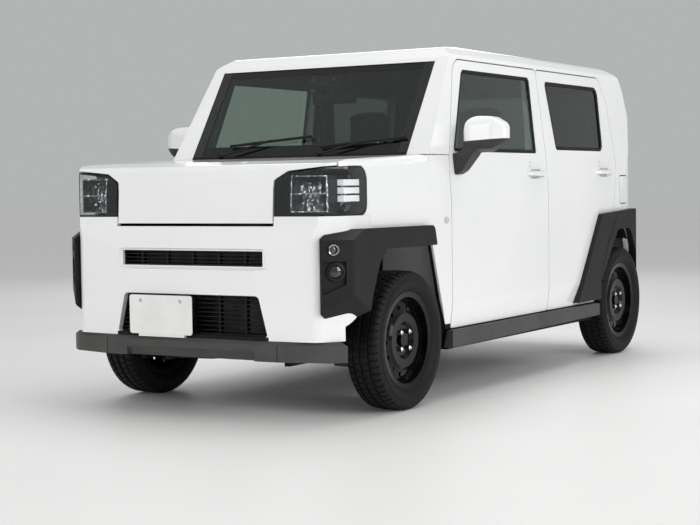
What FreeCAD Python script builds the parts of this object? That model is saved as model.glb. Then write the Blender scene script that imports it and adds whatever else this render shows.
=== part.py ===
import FreeCAD, Part
import functools
import math
import os

Vector = FreeCAD.Vector

# A small tall hatchback of the light-car class, in millimetres.
# +X is the car's left, the nose faces -Y, +Z is up, and the origin lies on the
# ground in the middle of the overall length and width.

# Overall sizes
LENGTH = 3395.0
WIDTH = 1475.0
HEIGHT = 1630.0
WHEELBASE = 2460.0
FRONT_OVERHANG = 610.0
TRACK = WIDTH - 175.0

NOSE_Y = -LENGTH / 2
TAIL_Y = LENGTH / 2
FRONT_AXLE_Y = NOSE_Y + FRONT_OVERHANG
REAR_AXLE_Y = FRONT_AXLE_Y + WHEELBASE

# Body lines
SIDE_X = WIDTH / 2 - 25.5
BELT_Z = 1100.0
CANT_Z = HEIGHT - 90
BONNET_Z = 1094.0
NOSE_FOLD_Z = 1048.0
SILL_Z = 312.0
FLOOR_Z = 275.0
FLOOR_UNDER_Z = 215.0
LOAD_FLOOR_Z = 600.0

# Walls and gaps
PANEL = 25.0
DOOR_REBATE = 30.0
SHUT_GAP = 6.0
SHUT_LEAN = 0.2
GLASS = 4.0
SEAT_GAP = 0.3
SEAL_GAP = 0.9

# Tyres and wheels
TYRE_R = 297.75
TYRE_WIDTH = 165.0
RIM_R = 209.0
RIM_WIDTH = 128.0
WHEEL_X = TRACK / 2


def back(distance):
    """A station measured back from the front axle."""
    return FRONT_AXLE_Y + distance


def rear(distance):
    """A station measured back from the rear axle."""
    return REAR_AXLE_Y + distance


def tail(distance):
    """A station measured forward from the tail."""
    return TAIL_Y - distance


def place(plane, u, v, level):
    """A point of a side, front or plan outline, at its level across the plane."""
    if plane == "side":
        return Vector(level, u, v)
    if plane == "front":
        return Vector(u, level, v)
    return Vector(u, v, level)


def outline(points, plane, level):
    """A closed wire through the points, with an arc where a point has a radius."""
    corners = []
    for index, point in enumerate(points):
        here = place(plane, point[0], point[1], level)
        radius = point[2] if len(point) > 2 else 0.0
        if radius == 0.0:
            corners.append((here, None, here))
            continue
        before = points[index - 1]
        after = points[(index + 1) % len(points)]
        to_before = (place(plane, before[0], before[1], level) - here).normalize()
        to_after = (place(plane, after[0], after[1], level) - here).normalize()
        half = to_before.getAngle(to_after) / 2
        reach = radius / math.tan(half)
        middle = (to_before + to_after).normalize()
        crown = here + middle * (radius / math.sin(half) - radius)
        corners.append((here + to_before * reach, crown, here + to_after * reach))
    edges = []
    for index, (start, crown, end) in enumerate(corners):
        if crown is not None:
            edges.append(Part.Arc(start, crown, end).toShape())
        next_start = corners[(index + 1) % len(corners)][0]
        if end.distanceToPoint(next_start) > 0.001:
            edges.append(Part.LineSegment(end, next_start).toShape())
    return Part.Wire(edges)


def prism(points, plane, low, high):
    """An outline pushed straight from low to high."""
    return Part.Face(outline(points, plane, low)).extrude(place(plane, 0.0, 0.0, high - low))


def grown(points, plane, low, high, change):
    """The same prism with its outline moved out, or in where change is negative."""
    wire = outline(points, plane, low)
    if change != 0.0:
        wire = wire.makeOffset2D(change, 2, False, False, False)
    return Part.Face(wire).extrude(place(plane, 0.0, 0.0, high - low))


def tapered(points, plane, low, high, change):
    """A prism whose outline moves out by change on its way from low to high."""
    start = outline(points, plane, low)
    end = start.makeOffset2D(change, 2, False, False, False)
    end.translate(place(plane, 0.0, 0.0, high - low))
    return Part.makeLoft([start, end], True, True)


def beyond(at, outward):
    """A block that stands on the plane through a point, on its outward side."""
    block = Part.makeBox(800, 800, 300, Vector(-400, -400, 0))
    block.Placement = FreeCAD.Placement(at, FreeCAD.Rotation(Vector(0, 0, 1), outward))
    return block


def biggest(shape):
    return max(shape.Solids, key=lambda solid: solid.Volume)


def box(x0, x1, y0, y1, z0, z1):
    return Part.makeBox(x1 - x0, y1 - y0, z1 - z0, Vector(x0, y0, z0))


def cylinder(radius, start, end):
    along = end - start
    return Part.makeCylinder(radius, along.Length, start, along)


def mirrored(shape):
    return shape.mirror(Vector(0, 0, 0), Vector(1, 0, 0))


def pair(shape):
    """A left piece with its right twin."""
    return Part.makeCompound([shape, mirrored(shape)])


def rounded_pairs(half):
    """A whole outline from its left half, listed from the middle to the middle."""
    other = [(-point[0],) + tuple(point[1:]) for point in reversed(half)]
    if half[0][0] == 0.0:
        other = other[:-1]
    if half[-1][0] == 0.0:
        other = other[1:]
    return half + other


# The bonnet climbs quickly behind the nose fold, then gently to the windscreen
NOSE_RISE = 20.0

# The outer form: a side view, a cross-section and a plan that cut each other
WINDSCREEN_FOOT = (back(232), BONNET_Z)
WINDSCREEN_HEAD = (back(526), CANT_Z + 2)

SIDE_VIEW = [
    (NOSE_Y + 25, 100),
    (NOSE_Y + 20, 330),
    (NOSE_Y + 20, 690, 60),
    (NOSE_Y + 54, 810),
    (NOSE_Y + 64, 985),
    (NOSE_Y + 80, NOSE_FOLD_Z, 45),
    (NOSE_Y + 190, NOSE_FOLD_Z + NOSE_RISE),
    WINDSCREEN_FOOT,
    WINDSCREEN_HEAD,
    (back(600), HEIGHT - 38, 70),
    (back(1000), HEIGHT - 10, 900),
    (back(1600), HEIGHT, 900),
    (tail(585), HEIGHT - 8, 900),
    (tail(265), HEIGHT - 30, 500),
    (tail(175), HEIGHT - 58, 60),
    (tail(121), HEIGHT - 160, 90),
    (tail(85), 1330),
    (tail(50), 1000),
    (tail(36), 800),
    (TAIL_Y, 560, 40),
    (TAIL_Y, 380, 40),
    (tail(30), 100),
]

SECTION = rounded_pairs([
    (0.0, 100),
    (SIDE_X - 60, 100),
    (SIDE_X - 14, 300),
    (SIDE_X, 424, 40),
    (SIDE_X, 880, 300),
    (SIDE_X - 12, BELT_Z, 150),
    (SIDE_X - 66, CANT_Z + 10, 45),
    (SIDE_X - 140, HEIGHT - 26, 120),
    (0.0, HEIGHT),
])

PLAN = rounded_pairs([
    (0.0, NOSE_Y + 14),
    (330.0, NOSE_Y + 20),
    (SIDE_X - 100, NOSE_Y + 44, 60),
    (SIDE_X - 16, back(-440), 90),
    (SIDE_X, back(-250)),
    (SIDE_X, rear(20)),
    (SIDE_X - 12, tail(145), 120),
    (SIDE_X - 66, tail(28), 60),
    (0.0, TAIL_Y),
])

SHOULDER_R = 45.0
BONNET_SLOPE = (BONNET_Z - NOSE_FOLD_Z - NOSE_RISE) / (WINDSCREEN_FOOT[0] - NOSE_Y - 190)


def shoulder_round(inset):
    """What a rounded shoulder takes off the body along the bonnet's left side."""
    radius = max(SHOULDER_R - inset, 1.0)
    along = Vector(0, 1, BONNET_SLOPE).normalize()
    up = Vector(0, -BONNET_SLOPE, 1).normalize()
    across = Vector(1, 0, 0)
    front_y = NOSE_Y - 20
    top_z = NOSE_FOLD_Z + NOSE_RISE + BONNET_SLOPE * (front_y - NOSE_Y - 190)
    corner = Vector(SIDE_X - 9 - inset, front_y, top_z) - up * inset
    centre = corner - across * radius - up * radius
    length = (WINDSCREEN_FOOT[0] - front_y) / along.y
    block = Part.Face(Part.makePolygon([
        centre,
        centre + across * (radius + 60),
        centre + across * (radius + 60) + up * (radius + 80),
        centre + up * (radius + 80),
        centre,
    ])).extrude(along * length)
    return block.cut(Part.makeCylinder(radius, length, centre, along))


@functools.lru_cache(maxsize=None)
def envelope(inset):
    """The body's outer form, drawn in all round by inset."""
    form = grown(SIDE_VIEW, "side", -SIDE_X - 100, SIDE_X + 100, -inset)
    form = form.common(grown(SECTION, "front", NOSE_Y - 100, TAIL_Y + 100, -inset))
    form = form.common(grown(PLAN, "plan", 0.0, HEIGHT + 100, -inset))
    cutter = shoulder_round(inset)
    return form.cut(cutter).cut(mirrored(cutter))


SKIN = envelope(0.0)
UNDER_SKIN = envelope(PANEL)
UNDER_GAP = envelope(PANEL + SHUT_GAP)


def layer(outer, inner, space):
    """The body's wall between two depths, as far as a space reaches."""
    return envelope(outer).common(space).cut(envelope(inner))


def panel(space):
    return layer(0.0, PANEL, space)


# The cabin's inside
CABIN_X = SIDE_X - 72
BULKHEAD_Y = back(377)
CABIN_SIDE_VIEW = [
    (BULKHEAD_Y, FLOOR_Z),
    (BULKHEAD_Y, 800),
    (back(300), 870),
    (back(300), BONNET_Z - 16),
    (back(556), CANT_Z - 10),
    (back(640), HEIGHT - 52, 60),
    (back(1000), HEIGHT - 36),
    (tail(585), HEIGHT - 36),
    (tail(275), HEIGHT - 56),
    (tail(195), HEIGHT - 150, 60),
    (tail(150), 1330),
    (tail(115), 1000),
    (tail(100), LOAD_FLOOR_Z),
    (rear(-420), LOAD_FLOOR_Z),
    (rear(-420), FLOOR_Z),
]
CABIN_SECTION = rounded_pairs([
    (0.0, FLOOR_Z - 20),
    (CABIN_X, FLOOR_Z - 20),
    (CABIN_X, BELT_Z - 30, 60),
    (CABIN_X - 36, CANT_Z, 40),
    (CABIN_X - 90, HEIGHT - 52, 80),
    (0.0, HEIGHT - 30),
])

REAR_HOUSE_X = WHEEL_X - 170
REAR_HOUSE = box(REAR_HOUSE_X, SIDE_X + 100, rear(-360), rear(270), 0.0, 740.0)


def cabin_space():
    space = prism(CABIN_SIDE_VIEW, "side", -CABIN_X - 20, CABIN_X + 20)
    space = space.common(prism(CABIN_SECTION, "front", NOSE_Y, TAIL_Y))
    return space.cut(REAR_HOUSE).cut(mirrored(REAR_HOUSE))


CABIN = cabin_space()
WALLS = SKIN.cut(CABIN)

# Wheel arches, seen from the side
FRONT_ARCH = [
    (back(-461), 0),
    (back(-461), 394),
    (back(-349), 458),
    (back(-330), 512),
    (back(-274), 639, 30),
    (back(-214), 697, 20),
    (back(236), 697, 8),
    (back(318), 440),
    (back(375), SILL_Z),
    (back(375), 0),
]
REAR_ARCH = [
    (rear(-335), 0),
    (rear(-322), 425),
    (rear(-165), 600, 40),
    (rear(-70), 700, 40),
    (rear(110), 700, 60),
    (rear(285), 430),
    (rear(400), 400),
    (rear(400), 0),
]
HOUSE_WALL = 20.0
HOUSE_SKIRT_Z = 420.0


def rear_wheel_space():
    return prism(REAR_ARCH, "side", REAR_HOUSE_X + HOUSE_WALL, SIDE_X + 200)


REAR_WHEEL_SPACE = rear_wheel_space()

# Shallow folds above the arch mouldings
CREASE = 6.0


def crease(front_y, rear_y, top_z, low_z):
    """What a shallow fold above an arch moulding takes off the side, fading at both ends."""
    deep_x = SIDE_X - CREASE
    wedge = prism([(SIDE_X + 2, top_z), (SIDE_X + 2, low_z), (deep_x, low_z)], "front", front_y, rear_y)
    return wedge.common(prism([
        (SIDE_X + 3, front_y),
        (deep_x - 1, front_y + 90),
        (deep_x - 1, rear_y - 90),
        (SIDE_X + 3, rear_y),
    ], "plan", low_z - 10, top_z + 10))


FRONT_CREASE = crease(back(-358), back(260), 830, 776)
REAR_CREASE = crease(rear(-330), rear(270), 832, 780)

# Doors
DOOR_FRONT_Y = back(425)
DOOR_SPLIT_Y = back(1494)
DOOR_TOP_Z = CANT_Z - 10
FRONT_DOOR = [
    (DOOR_FRONT_Y, SILL_Z, 12),
    (DOOR_SPLIT_Y - SHUT_GAP, SILL_Z, 12),
    (DOOR_SPLIT_Y - SHUT_GAP, DOOR_TOP_Z, 25),
    (back(622), DOOR_TOP_Z, 40),
    (back(572), DOOR_TOP_Z - 35, 30),
    (DOOR_FRONT_Y + 8, BELT_Z - 6, 60),
    (DOOR_FRONT_Y, BELT_Z - 80),
]
REAR_DOOR = [
    (DOOR_SPLIT_Y, SILL_Z, 12),
    (rear(-345), SILL_Z),
    (rear(-330), 470),
    (rear(-222), 640),
    (rear(-105), 765, 30),
    (rear(-18), 1018, 60),
    (rear(-62), 1400, 60),
    (rear(-140), DOOR_TOP_Z, 50),
    (DOOR_SPLIT_Y, DOOR_TOP_Z, 25),
]
FRONT_WINDOW = [
    (back(470), BELT_Z + 8, 12),
    (back(1375), BELT_Z + 8, 12),
    (back(1388), 1488, 25),
    (back(642), 1488, 40),
]
REAR_WINDOW = [
    (back(1626), BELT_Z + 28, 20),
    (rear(-195), BELT_Z + 28, 45),
    (rear(-175), 1478, 50),
    (back(1570), 1478, 25),
]


FRONT_HANDLE = (back(1350), 1007.0)
REAR_HANDLE = (back(2258), 1014.0)
FRONT_REST = (back(760), back(1340))
REAR_REST = (back(1640), rear(-330))


def door_cut(points, change=0.0):
    """The space a door outline sweeps through the body side, grown or drawn in by change."""
    start = SIDE_X + 88
    wire = outline(points, "side", start)
    if change != 0.0:
        wire = wire.makeOffset2D(change, 2, False, False, False)
    face = Part.Face(wire)
    face.translate(Vector(0, SHUT_LEAN * 88, 0))
    return face.extrude(Vector(-260, -SHUT_LEAN * 260, 0))


HANDLE_HALF = 112.0
HANDLE_X = SIDE_X - 5


def pull_handle(middle_y, middle_z):
    """A grip that bridges the cup behind it."""
    front_y = middle_y - HANDLE_HALF
    rear_y = middle_y + HANDLE_HALF
    grip = prism([
        (HANDLE_X - 8, front_y),
        (HANDLE_X + 22, front_y + 26, 20),
        (HANDLE_X + 26, middle_y, 400),
        (HANDLE_X + 22, rear_y - 20, 12),
        (HANDLE_X - 8, rear_y),
        (HANDLE_X - 8, rear_y - 24),
        (HANDLE_X + 13, rear_y - 42, 6),
        (HANDLE_X + 13, front_y + 50, 6),
        (HANDLE_X - 8, front_y + 30),
    ], "plan", middle_z - 13, middle_z + 13)
    return grip.common(prism([
        (front_y, middle_z - 9, 6),
        (rear_y, middle_z - 13, 6),
        (rear_y, middle_z + 13, 8),
        (front_y, middle_z + 9, 6),
    ], "side", HANDLE_X - 10, HANDLE_X + 40))


def handle_cup(middle_y, middle_z):
    """The bowl behind the grip and the round lock cover above its front end."""
    bowl = tapered([
        (middle_y - 66, middle_z - 28, 26),
        (middle_y + 66, middle_z - 28, 26),
        (middle_y + 66, middle_z + 26, 24),
        (middle_y - 66, middle_z + 26, 24),
    ], "side", SIDE_X + 3, SIDE_X - 22, -8)
    lock = Vector(SIDE_X, middle_y - 62, middle_z + 46)
    return bowl.fuse(cylinder(15, lock - Vector(14, 0, 0), lock + Vector(9, 0, 0)).cut(
        cylinder(12, lock - Vector(20, 0, 0), lock - Vector(9.5, 0, 0))))


def armrest(front_y, rear_y):
    """A rest and a pocket on the door's inner face."""
    rest = prism([
        (CABIN_X + 6, front_y),
        (CABIN_X - 46, front_y + 60, 30),
        (CABIN_X - 46, rear_y - 20, 18),
        (CABIN_X + 6, rear_y),
    ], "plan", 668, 706)
    pocket = prism([
        (CABIN_X + 6, 392),
        (CABIN_X - 34, 402, 12),
        (CABIN_X - 38, 500),
        (CABIN_X + 6, 500),
    ], "front", front_y + 60, rear_y - 120)
    hollow = prism([
        (CABIN_X - 3, 404),
        (CABIN_X - 28, 412, 8),
        (CABIN_X - 32, 501),
        (CABIN_X - 3, 501),
    ], "front", front_y + 66, rear_y - 126)
    return rest.fuse(pocket.cut(hollow))


def door(points, window, handle_at, rest_at):
    """A left door: an outer skin lapping over a thicker inner box, with its window cut."""
    skin = panel(door_cut(points)).cut(handle_cup(*handle_at)).cut(REAR_CREASE)
    skin = skin.fuse(pull_handle(*handle_at))
    inner = UNDER_SKIN.cut(prism(CABIN_SECTION, "front", NOSE_Y, TAIL_Y)).common(door_cut(points, -DOOR_REBATE))
    whole = skin.fuse(inner).fuse(armrest(*rest_at)).removeSplitter()
    return whole.cut(prism(window, "side", SIDE_X - 260, SIDE_X + 100))


def door_glass(window):
    return layer(8.0, 8.0 + GLASS, prism(window, "side", SIDE_X - 160, SIDE_X + 100))


def door_opening(points):
    """The rebated hole that a door leaves in the body side."""
    outer = door_cut(points, SHUT_GAP).cut(UNDER_GAP)
    inner = door_cut(points, SHUT_GAP + 2 - DOOR_REBATE)
    return outer.fuse(inner)


def door_seal(points):
    """A rubber loop on the rebate, that the closed door's skin lies against."""
    ring = door_cut(points, -9.0).cut(door_cut(points, -17.0))
    return layer(PANEL + SEAL_GAP, PANEL + SHUT_GAP, ring)


REAR_SEAL_END_Z = 1180.0


def rear_door_seal():
    """This loop stops short of the upper hinge side, where the opening door dips inwards."""
    loop = door_seal(REAR_DOOR)
    return loop.cut(box(0, SIDE_X, DOOR_SPLIT_Y - 60, DOOR_SPLIT_Y + 24, REAR_SEAL_END_Z, CANT_Z))


def door_seals():
    return Part.makeCompound([pair(door_seal(FRONT_DOOR)), pair(rear_door_seal()), tailgate_seal()])


# Tailgate, seen from behind
TAILGATE_X = SIDE_X - 122
TAILGATE_LOW_Z = 640.0
TAILGATE_TOP_Y = tail(240)
TAILGATE_VIEW = rounded_pairs([
    (0.0, TAILGATE_LOW_Z),
    (TAILGATE_X - 30, TAILGATE_LOW_Z, 40),
    (TAILGATE_X, 900, 60),
    (TAILGATE_X, 1150, 60),
    (TAILGATE_X - 30, HEIGHT + 60),
    (0.0, HEIGHT + 60),
])
TAILGATE_WINDOW = rounded_pairs([
    (0.0, 1120),
    (500.0, 1120, 45),
    (478.0, 1500, 60),
    (0.0, 1500),
])


def tailgate_tool(change):
    wire = outline(TAILGATE_VIEW, "front", TAILGATE_TOP_Y - change)
    if change != 0.0:
        wire = wire.makeOffset2D(change, 2, False, False, False)
    return Part.Face(wire).extrude(Vector(0, TAIL_Y + 160 - TAILGATE_TOP_Y, 0))


def tailgate():
    """The rear lid with its window cut, closing onto the bumper's top edge."""
    lid = WALLS.common(tailgate_tool(0.0))
    lid = lid.common(box(-SIDE_X, SIDE_X, TAILGATE_TOP_Y, TAIL_Y + 10, TAILGATE_LOW_Z, HEIGHT + 10))
    lid = lid.cut(prism(TAILGATE_WINDOW, "front", tail(325), TAIL_Y + 50))
    return lid.cut(tapered(PLATE_RECESS, "front", TAIL_Y, tail(56), -6))


PLATE_RECESS = rounded_pairs([(0.0, 752), (186.0, 752, 14), (196.0, 930, 14), (0.0, 930)])


def tailgate_trim():
    """The grip bar over the plate recess, and the rear wiper on its pivot below the glass."""
    grip = prism([
        (tail(62), 944),
        (tail(26), 949, 5),
        (tail(31), 984, 8),
        (tail(62), 993),
    ], "side", -205, 205)
    slope = math.atan2(330.0, -35.0)
    up = Vector(0, math.cos(slope), math.sin(slope))
    out = Vector(0, math.sin(slope), -math.cos(slope))
    pivot = Vector(40, tail(60), 1094)
    hub = cylinder(15, pivot - out * 12, pivot + out * 20)
    elbow = pivot + Vector(-170, 0, 0) + up * 70 + out * 12
    arm = cylinder(6, pivot + out * 13, elbow)
    blade = cylinder(7, elbow - Vector(150, 0, 0) + up * 4 - out * 3, elbow + Vector(150, 0, 0) - up * 4 - out * 3)
    wiper = hub.fuse(arm).fuse(blade)
    return Part.makeCompound([grip.cut(SKIN), wiper.cut(SKIN)])


def tailgate_seal():
    """A rubber strip on the load sill under the tailgate's lower edge."""
    return box(-440, 440, TAIL_Y - 90, TAIL_Y - 70, TAILGATE_LOW_Z - SHUT_GAP, TAILGATE_LOW_Z - SEAT_GAP)


def tailgate_glass():
    return layer(10.0, 10.0 + GLASS, prism(TAILGATE_WINDOW, "front", tail(265), TAIL_Y + 50))


# Tail lamps at the rear corners
TAIL_LAMP = [
    (TAILGATE_X + SHUT_GAP + 2, 872, 12),
    (SIDE_X + 40, 872),
    (SIDE_X + 40, 1128),
    (TAILGATE_X + SHUT_GAP + 2, 1128, 12),
]


def tail_lamp_tool():
    return prism(TAIL_LAMP, "front", TAIL_Y - 125, TAIL_Y + 40)


def tail_lamps():
    return pair(layer(0.0, 45.0, tail_lamp_tool()))


# Fuel lid in the left quarter panel
FUEL_LID = [
    (rear(20), 842, 20),
    (rear(150), 842, 20),
    (rear(150), 992, 20),
    (rear(20), 992, 20),
]
FUEL_LID_BACK_X = SIDE_X - 13


def fuel_lid():
    return SKIN.common(prism(FUEL_LID, "side", FUEL_LID_BACK_X, SIDE_X + 40))


def fuel_pocket():
    """The recess behind the lid, less the filler cap and the lid's rubber stop."""
    pocket = grown(FUEL_LID, "side", SIDE_X - 48, SIDE_X + 40, SHUT_GAP)
    stop = cylinder(5, Vector(SIDE_X - 50, rear(130), 917), Vector(FUEL_LID_BACK_X - SEAT_GAP, rear(130), 917))
    cap = cylinder(30, Vector(SIDE_X - 50, rear(75), 917), Vector(SIDE_X - 24, rear(75), 917))
    return pocket.cut(stop).cut(cap)


# The body side: sill, pillars, cant rail, quarter panel and rear wheel house
SIDE_FRAME_X = SIDE_X - 124
FENDER_REAR_Y = DOOR_FRONT_Y - SHUT_GAP
REAR_BUMPER_Y = rear(150)


def side_frame(has_lid):
    region = box(SIDE_FRAME_X, SIDE_X + 50, BULKHEAD_Y - 20, TAIL_Y, FLOOR_UNDER_Z, HEIGHT + 10)
    region = region.fuse(REAR_HOUSE.common(box(0, 2000, FRONT_AXLE_Y, TAIL_Y, HOUSE_SKIRT_Z, HEIGHT)))
    pillar_foot = box(SIDE_FRAME_X, SIDE_X + 50, back(200), BULKHEAD_Y, BONNET_Z, HEIGHT + 10)
    frame = WALLS.common(region.fuse(pillar_foot))
    frame = frame.cut(panel(
        box(0, SIDE_X + 50, BULKHEAD_Y - 60, FENDER_REAR_Y + SHUT_GAP, 0, BONNET_Z)))
    frame = frame.cut(door_opening(FRONT_DOOR)).cut(door_opening(REAR_DOOR))
    frame = frame.cut(REAR_WHEEL_SPACE).cut(REAR_CREASE)
    frame = frame.cut(tailgate_tool(SHUT_GAP)).cut(tail_lamp_tool())
    frame = frame.cut(box(0, SIDE_X + 50, REAR_BUMPER_Y, TAIL_Y + 50, 0, TAILGATE_LOW_Z))
    if has_lid:
        frame = frame.cut(fuel_pocket())
    return frame


# Roof with its glass panel
ROOF_GLASS = rounded_pairs([
    (0.0, back(660)),
    (430.0, back(660), 40),
    (430.0, back(1240), 40),
    (0.0, back(1240)),
])
ROOF_LOW_Z = CANT_Z - 40


def roof_region():
    region = box(-SIDE_FRAME_X, SIDE_FRAME_X, back(500), TAILGATE_TOP_Y - SHUT_GAP, ROOF_LOW_Z, HEIGHT + 10)
    return WALLS.common(region)


def screen_region(low_z, high_z):
    """The sloping slab of the windscreen between the pillars."""
    return box(-SIDE_FRAME_X, SIDE_FRAME_X, back(150), back(600), low_z, high_z)


HEADER_Z = 1522.0
SCREEN_LOW_Z = BONNET_Z + 10
SCREEN_SINK = 4.0


def roof_panel():
    roof = roof_region().cut(prism(ROOF_GLASS, "plan", ROOF_LOW_Z - 10, HEIGHT + 20))
    return roof.cut(screen_region(SCREEN_LOW_Z, HEADER_Z))


def roof_glass():
    return layer(3.0, 3.0 + GLASS, prism(ROOF_GLASS, "plan", CANT_Z, HEIGHT + 20))


def windscreen():
    """A flat pane lying just under the slope between the pillars."""
    run = (WINDSCREEN_HEAD[0] - WINDSCREEN_FOOT[0]) / (WINDSCREEN_HEAD[1] - WINDSCREEN_FOOT[1])
    depth = math.sqrt(1 + run * run)

    def on_slope(height, under):
        return (WINDSCREEN_FOOT[0] + run * (height - WINDSCREEN_FOOT[1]) + under * depth, height)

    return prism([
        on_slope(SCREEN_LOW_Z, SCREEN_SINK),
        on_slope(HEADER_Z, SCREEN_SINK),
        on_slope(HEADER_Z, SCREEN_SINK + GLASS + 1),
        on_slope(SCREEN_LOW_Z, SCREEN_SINK + GLASS + 1),
    ], "side", -SIDE_FRAME_X, SIDE_FRAME_X)


# Cowl below the windscreen
BONNET_REAR_Y = back(214)


def cowl():
    region = box(-SIDE_FRAME_X, SIDE_FRAME_X, BONNET_REAR_Y + SHUT_GAP, back(330), 1010, SCREEN_LOW_Z)
    return WALLS.common(region)


def wipers():
    """Two blades lying low on the glass, each on an arm from the cowl."""
    slope = math.atan2(WINDSCREEN_HEAD[1] - WINDSCREEN_FOOT[1], WINDSCREEN_HEAD[0] - WINDSCREEN_FOOT[0])
    out = Vector(0, -math.sin(slope), math.cos(slope))
    up = Vector(0, math.cos(slope), math.sin(slope))
    foot = Vector(0, WINDSCREEN_FOOT[0], WINDSCREEN_FOOT[1])
    pieces = []
    for pivot_x, tip_x, arm_x, length_up in ((-420.0, 60.0, -150.0, 88.0), (130.0, 560.0, 360.0, 70.0)):
        pivot = foot + Vector(pivot_x, 0, 0) + up * 5 + out * 1
        elbow = foot + Vector(arm_x, 0, 0) + up * length_up + out * 16
        arm = cylinder(5.0, pivot + out * 14, elbow)
        hub = cylinder(12.0, pivot - out * 4, pivot + out * 20)
        heel = foot + Vector(arm_x - 230, 0, 0) + up * (length_up - 22) + out * 10
        tip = foot + Vector(tip_x, 0, 0) + up * (length_up + 20) + out * 10
        blade = cylinder(6.5, heel, tip)
        pieces.append(arm.fuse(hub).fuse(blade))
    whole = Part.makeCompound(pieces)
    return Part.makeCompound([piece.cut(SKIN) for piece in whole.Solids])


# Bonnet: a lid with a front panel that comes down between the lamps
BONNET_X = SIDE_X - 48
BONNET_NOSE_X = 400.0
BONNET_LOW_Z = 812.0
LAMP_INNER_X = BONNET_NOSE_X + SHUT_GAP + 2
LAMP_LOW_Z = 840.0
LAMP_TOP_Z = 1018.0
LAMP_OUTER_TOP_Z = 1045.0
LAMP_REAR_Y = back(-318)
LAMP_VIEW = [
    (LAMP_INNER_X, LAMP_LOW_Z, 8),
    (SIDE_X + 40, LAMP_LOW_Z),
    (SIDE_X + 40, LAMP_OUTER_TOP_Z),
    (LAMP_INNER_X + 60, LAMP_TOP_Z, 25),
    (LAMP_INNER_X, LAMP_TOP_Z - 34, 12),
]


def bonnet():
    """A lid with square rear corners, cut round the lamps and down between them."""
    space = box(-BONNET_X, BONNET_X, NOSE_Y - 50, BONNET_REAR_Y, BONNET_LOW_Z, BONNET_Z + 10)
    lid = panel(space)
    side = grown(LAMP_VIEW, "front", NOSE_Y - 60, LAMP_REAR_Y + SHUT_GAP, SHUT_GAP)
    below = box(BONNET_NOSE_X, SIDE_X + 60, NOSE_Y - 60, BONNET_REAR_Y + 10, BONNET_LOW_Z - 10, LAMP_TOP_Z - 60)
    lid = lid.cut(side).cut(mirrored(side)).cut(below).cut(mirrored(below))
    return biggest(lid)


# Headlamps around the front corners
LENS = 4.0
LAMP_DEPTH = 110.0
REFLECTOR_X = 557.0
REFLECTOR_HALF = 79.0
REFLECTOR_WALL = 5.0
REFLECTOR_DEPTH = 14.0
SHELF_Z = 931.0
BULB_R = 10.0
LIGHT_BAR_DEPTH = 22.0
LIGHT_BAR_H = 24.0


def lamp_tool(change=0.0):
    """The lamp's outline from the front, with its rounded end on the body side."""
    tool = grown(LAMP_VIEW, "front", NOSE_Y - 20, LAMP_REAR_Y + change, change)
    side = prism([
        (NOSE_Y - 40, LAMP_LOW_Z - 1 - change),
        (LAMP_REAR_Y + change, LAMP_LOW_Z - 1 - change, 45),
        (LAMP_REAR_Y + change, LAMP_OUTER_TOP_Z + 1 + change, 62),
        (NOSE_Y - 40, LAMP_OUTER_TOP_Z + 1 + change),
    ], "side", 0, SIDE_X + 60)
    return tool.common(side)


def headlamps():
    """Open housings behind the lenses, each with a reflector box and three light bars."""
    block = layer(LENS, LAMP_DEPTH, lamp_tool())
    hollow = layer(LENS - 1, LAMP_DEPTH - 30, lamp_tool(-8.0))
    left, right = REFLECTOR_X - REFLECTOR_HALF, REFLECTOR_X + REFLECTOR_HALF
    low, high = LAMP_LOW_Z + 16, LAMP_TOP_Z - 14
    front_y, rear_y = NOSE_Y + 70, NOSE_Y + 200
    inner = box(left, right, front_y, rear_y, low, high)
    wall = REFLECTOR_WALL
    inner = inner.cut(box(left + wall, right - wall, front_y - 1, rear_y, low + wall, high - wall))
    inner = inner.fuse(box(left, right, front_y, rear_y, SHELF_Z - wall / 2, SHELF_Z + wall / 2))
    for bulb_z in (SHELF_Z - 40, SHELF_Z + 40):
        tip = Vector(REFLECTOR_X, front_y + 30, bulb_z)
        inner = inner.fuse(cylinder(BULB_R, tip, tip + Vector(0, 100, 0))).fuse(Part.makeSphere(BULB_R, tip))
    inner = inner.common(layer(REFLECTOR_DEPTH, LAMP_DEPTH, box(left, right, front_y - 60, rear_y, low, high)))
    for bar_z in (897.0, 929.5, 962.0):
        reach = box(640, SIDE_X - 40, NOSE_Y + 170, LAMP_REAR_Y, bar_z, bar_z + LIGHT_BAR_H)
        inner = inner.fuse(layer(LIGHT_BAR_DEPTH, LAMP_DEPTH - 20, reach))
    return pair(biggest(block.cut(hollow).fuse(inner.common(hollow))))


def headlamp_lenses():
    return pair(layer(0.0, LENS, lamp_tool()))


# Fenders
LAMP_GAP = 1.5
FENDER_INNER_X = BONNET_X + SHUT_GAP
BUMPER_TOP_Z = LAMP_LOW_Z - SEAT_GAP
BUMPER_REAR_Y = back(-298)


def front_fenders():
    region = box(FENDER_INNER_X, SIDE_X + 50, NOSE_Y - 20, FENDER_REAR_Y, SILL_Z, BONNET_Z - 3)
    behind_lid = box(SIDE_FRAME_X, SIDE_X + 50, BONNET_REAR_Y + SHUT_GAP, FENDER_REAR_Y, BONNET_LOW_Z, BONNET_Z - 3)
    fender = panel(region).fuse(panel(behind_lid)).cut(door_cut(FRONT_DOOR, SHUT_GAP))
    fender = fender.cut(lamp_tool(LAMP_GAP)).cut(FRONT_CREASE)
    fender = fender.cut(box(0, 900, NOSE_Y - 40, BUMPER_REAR_Y, 0, LAMP_LOW_Z))
    fender = fender.cut(prism(FRONT_ARCH, "side", 300, SIDE_X + 200))
    return pair(biggest(fender.fuse(bonnet_ledge())))


LEDGE_T = 12.0


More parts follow.
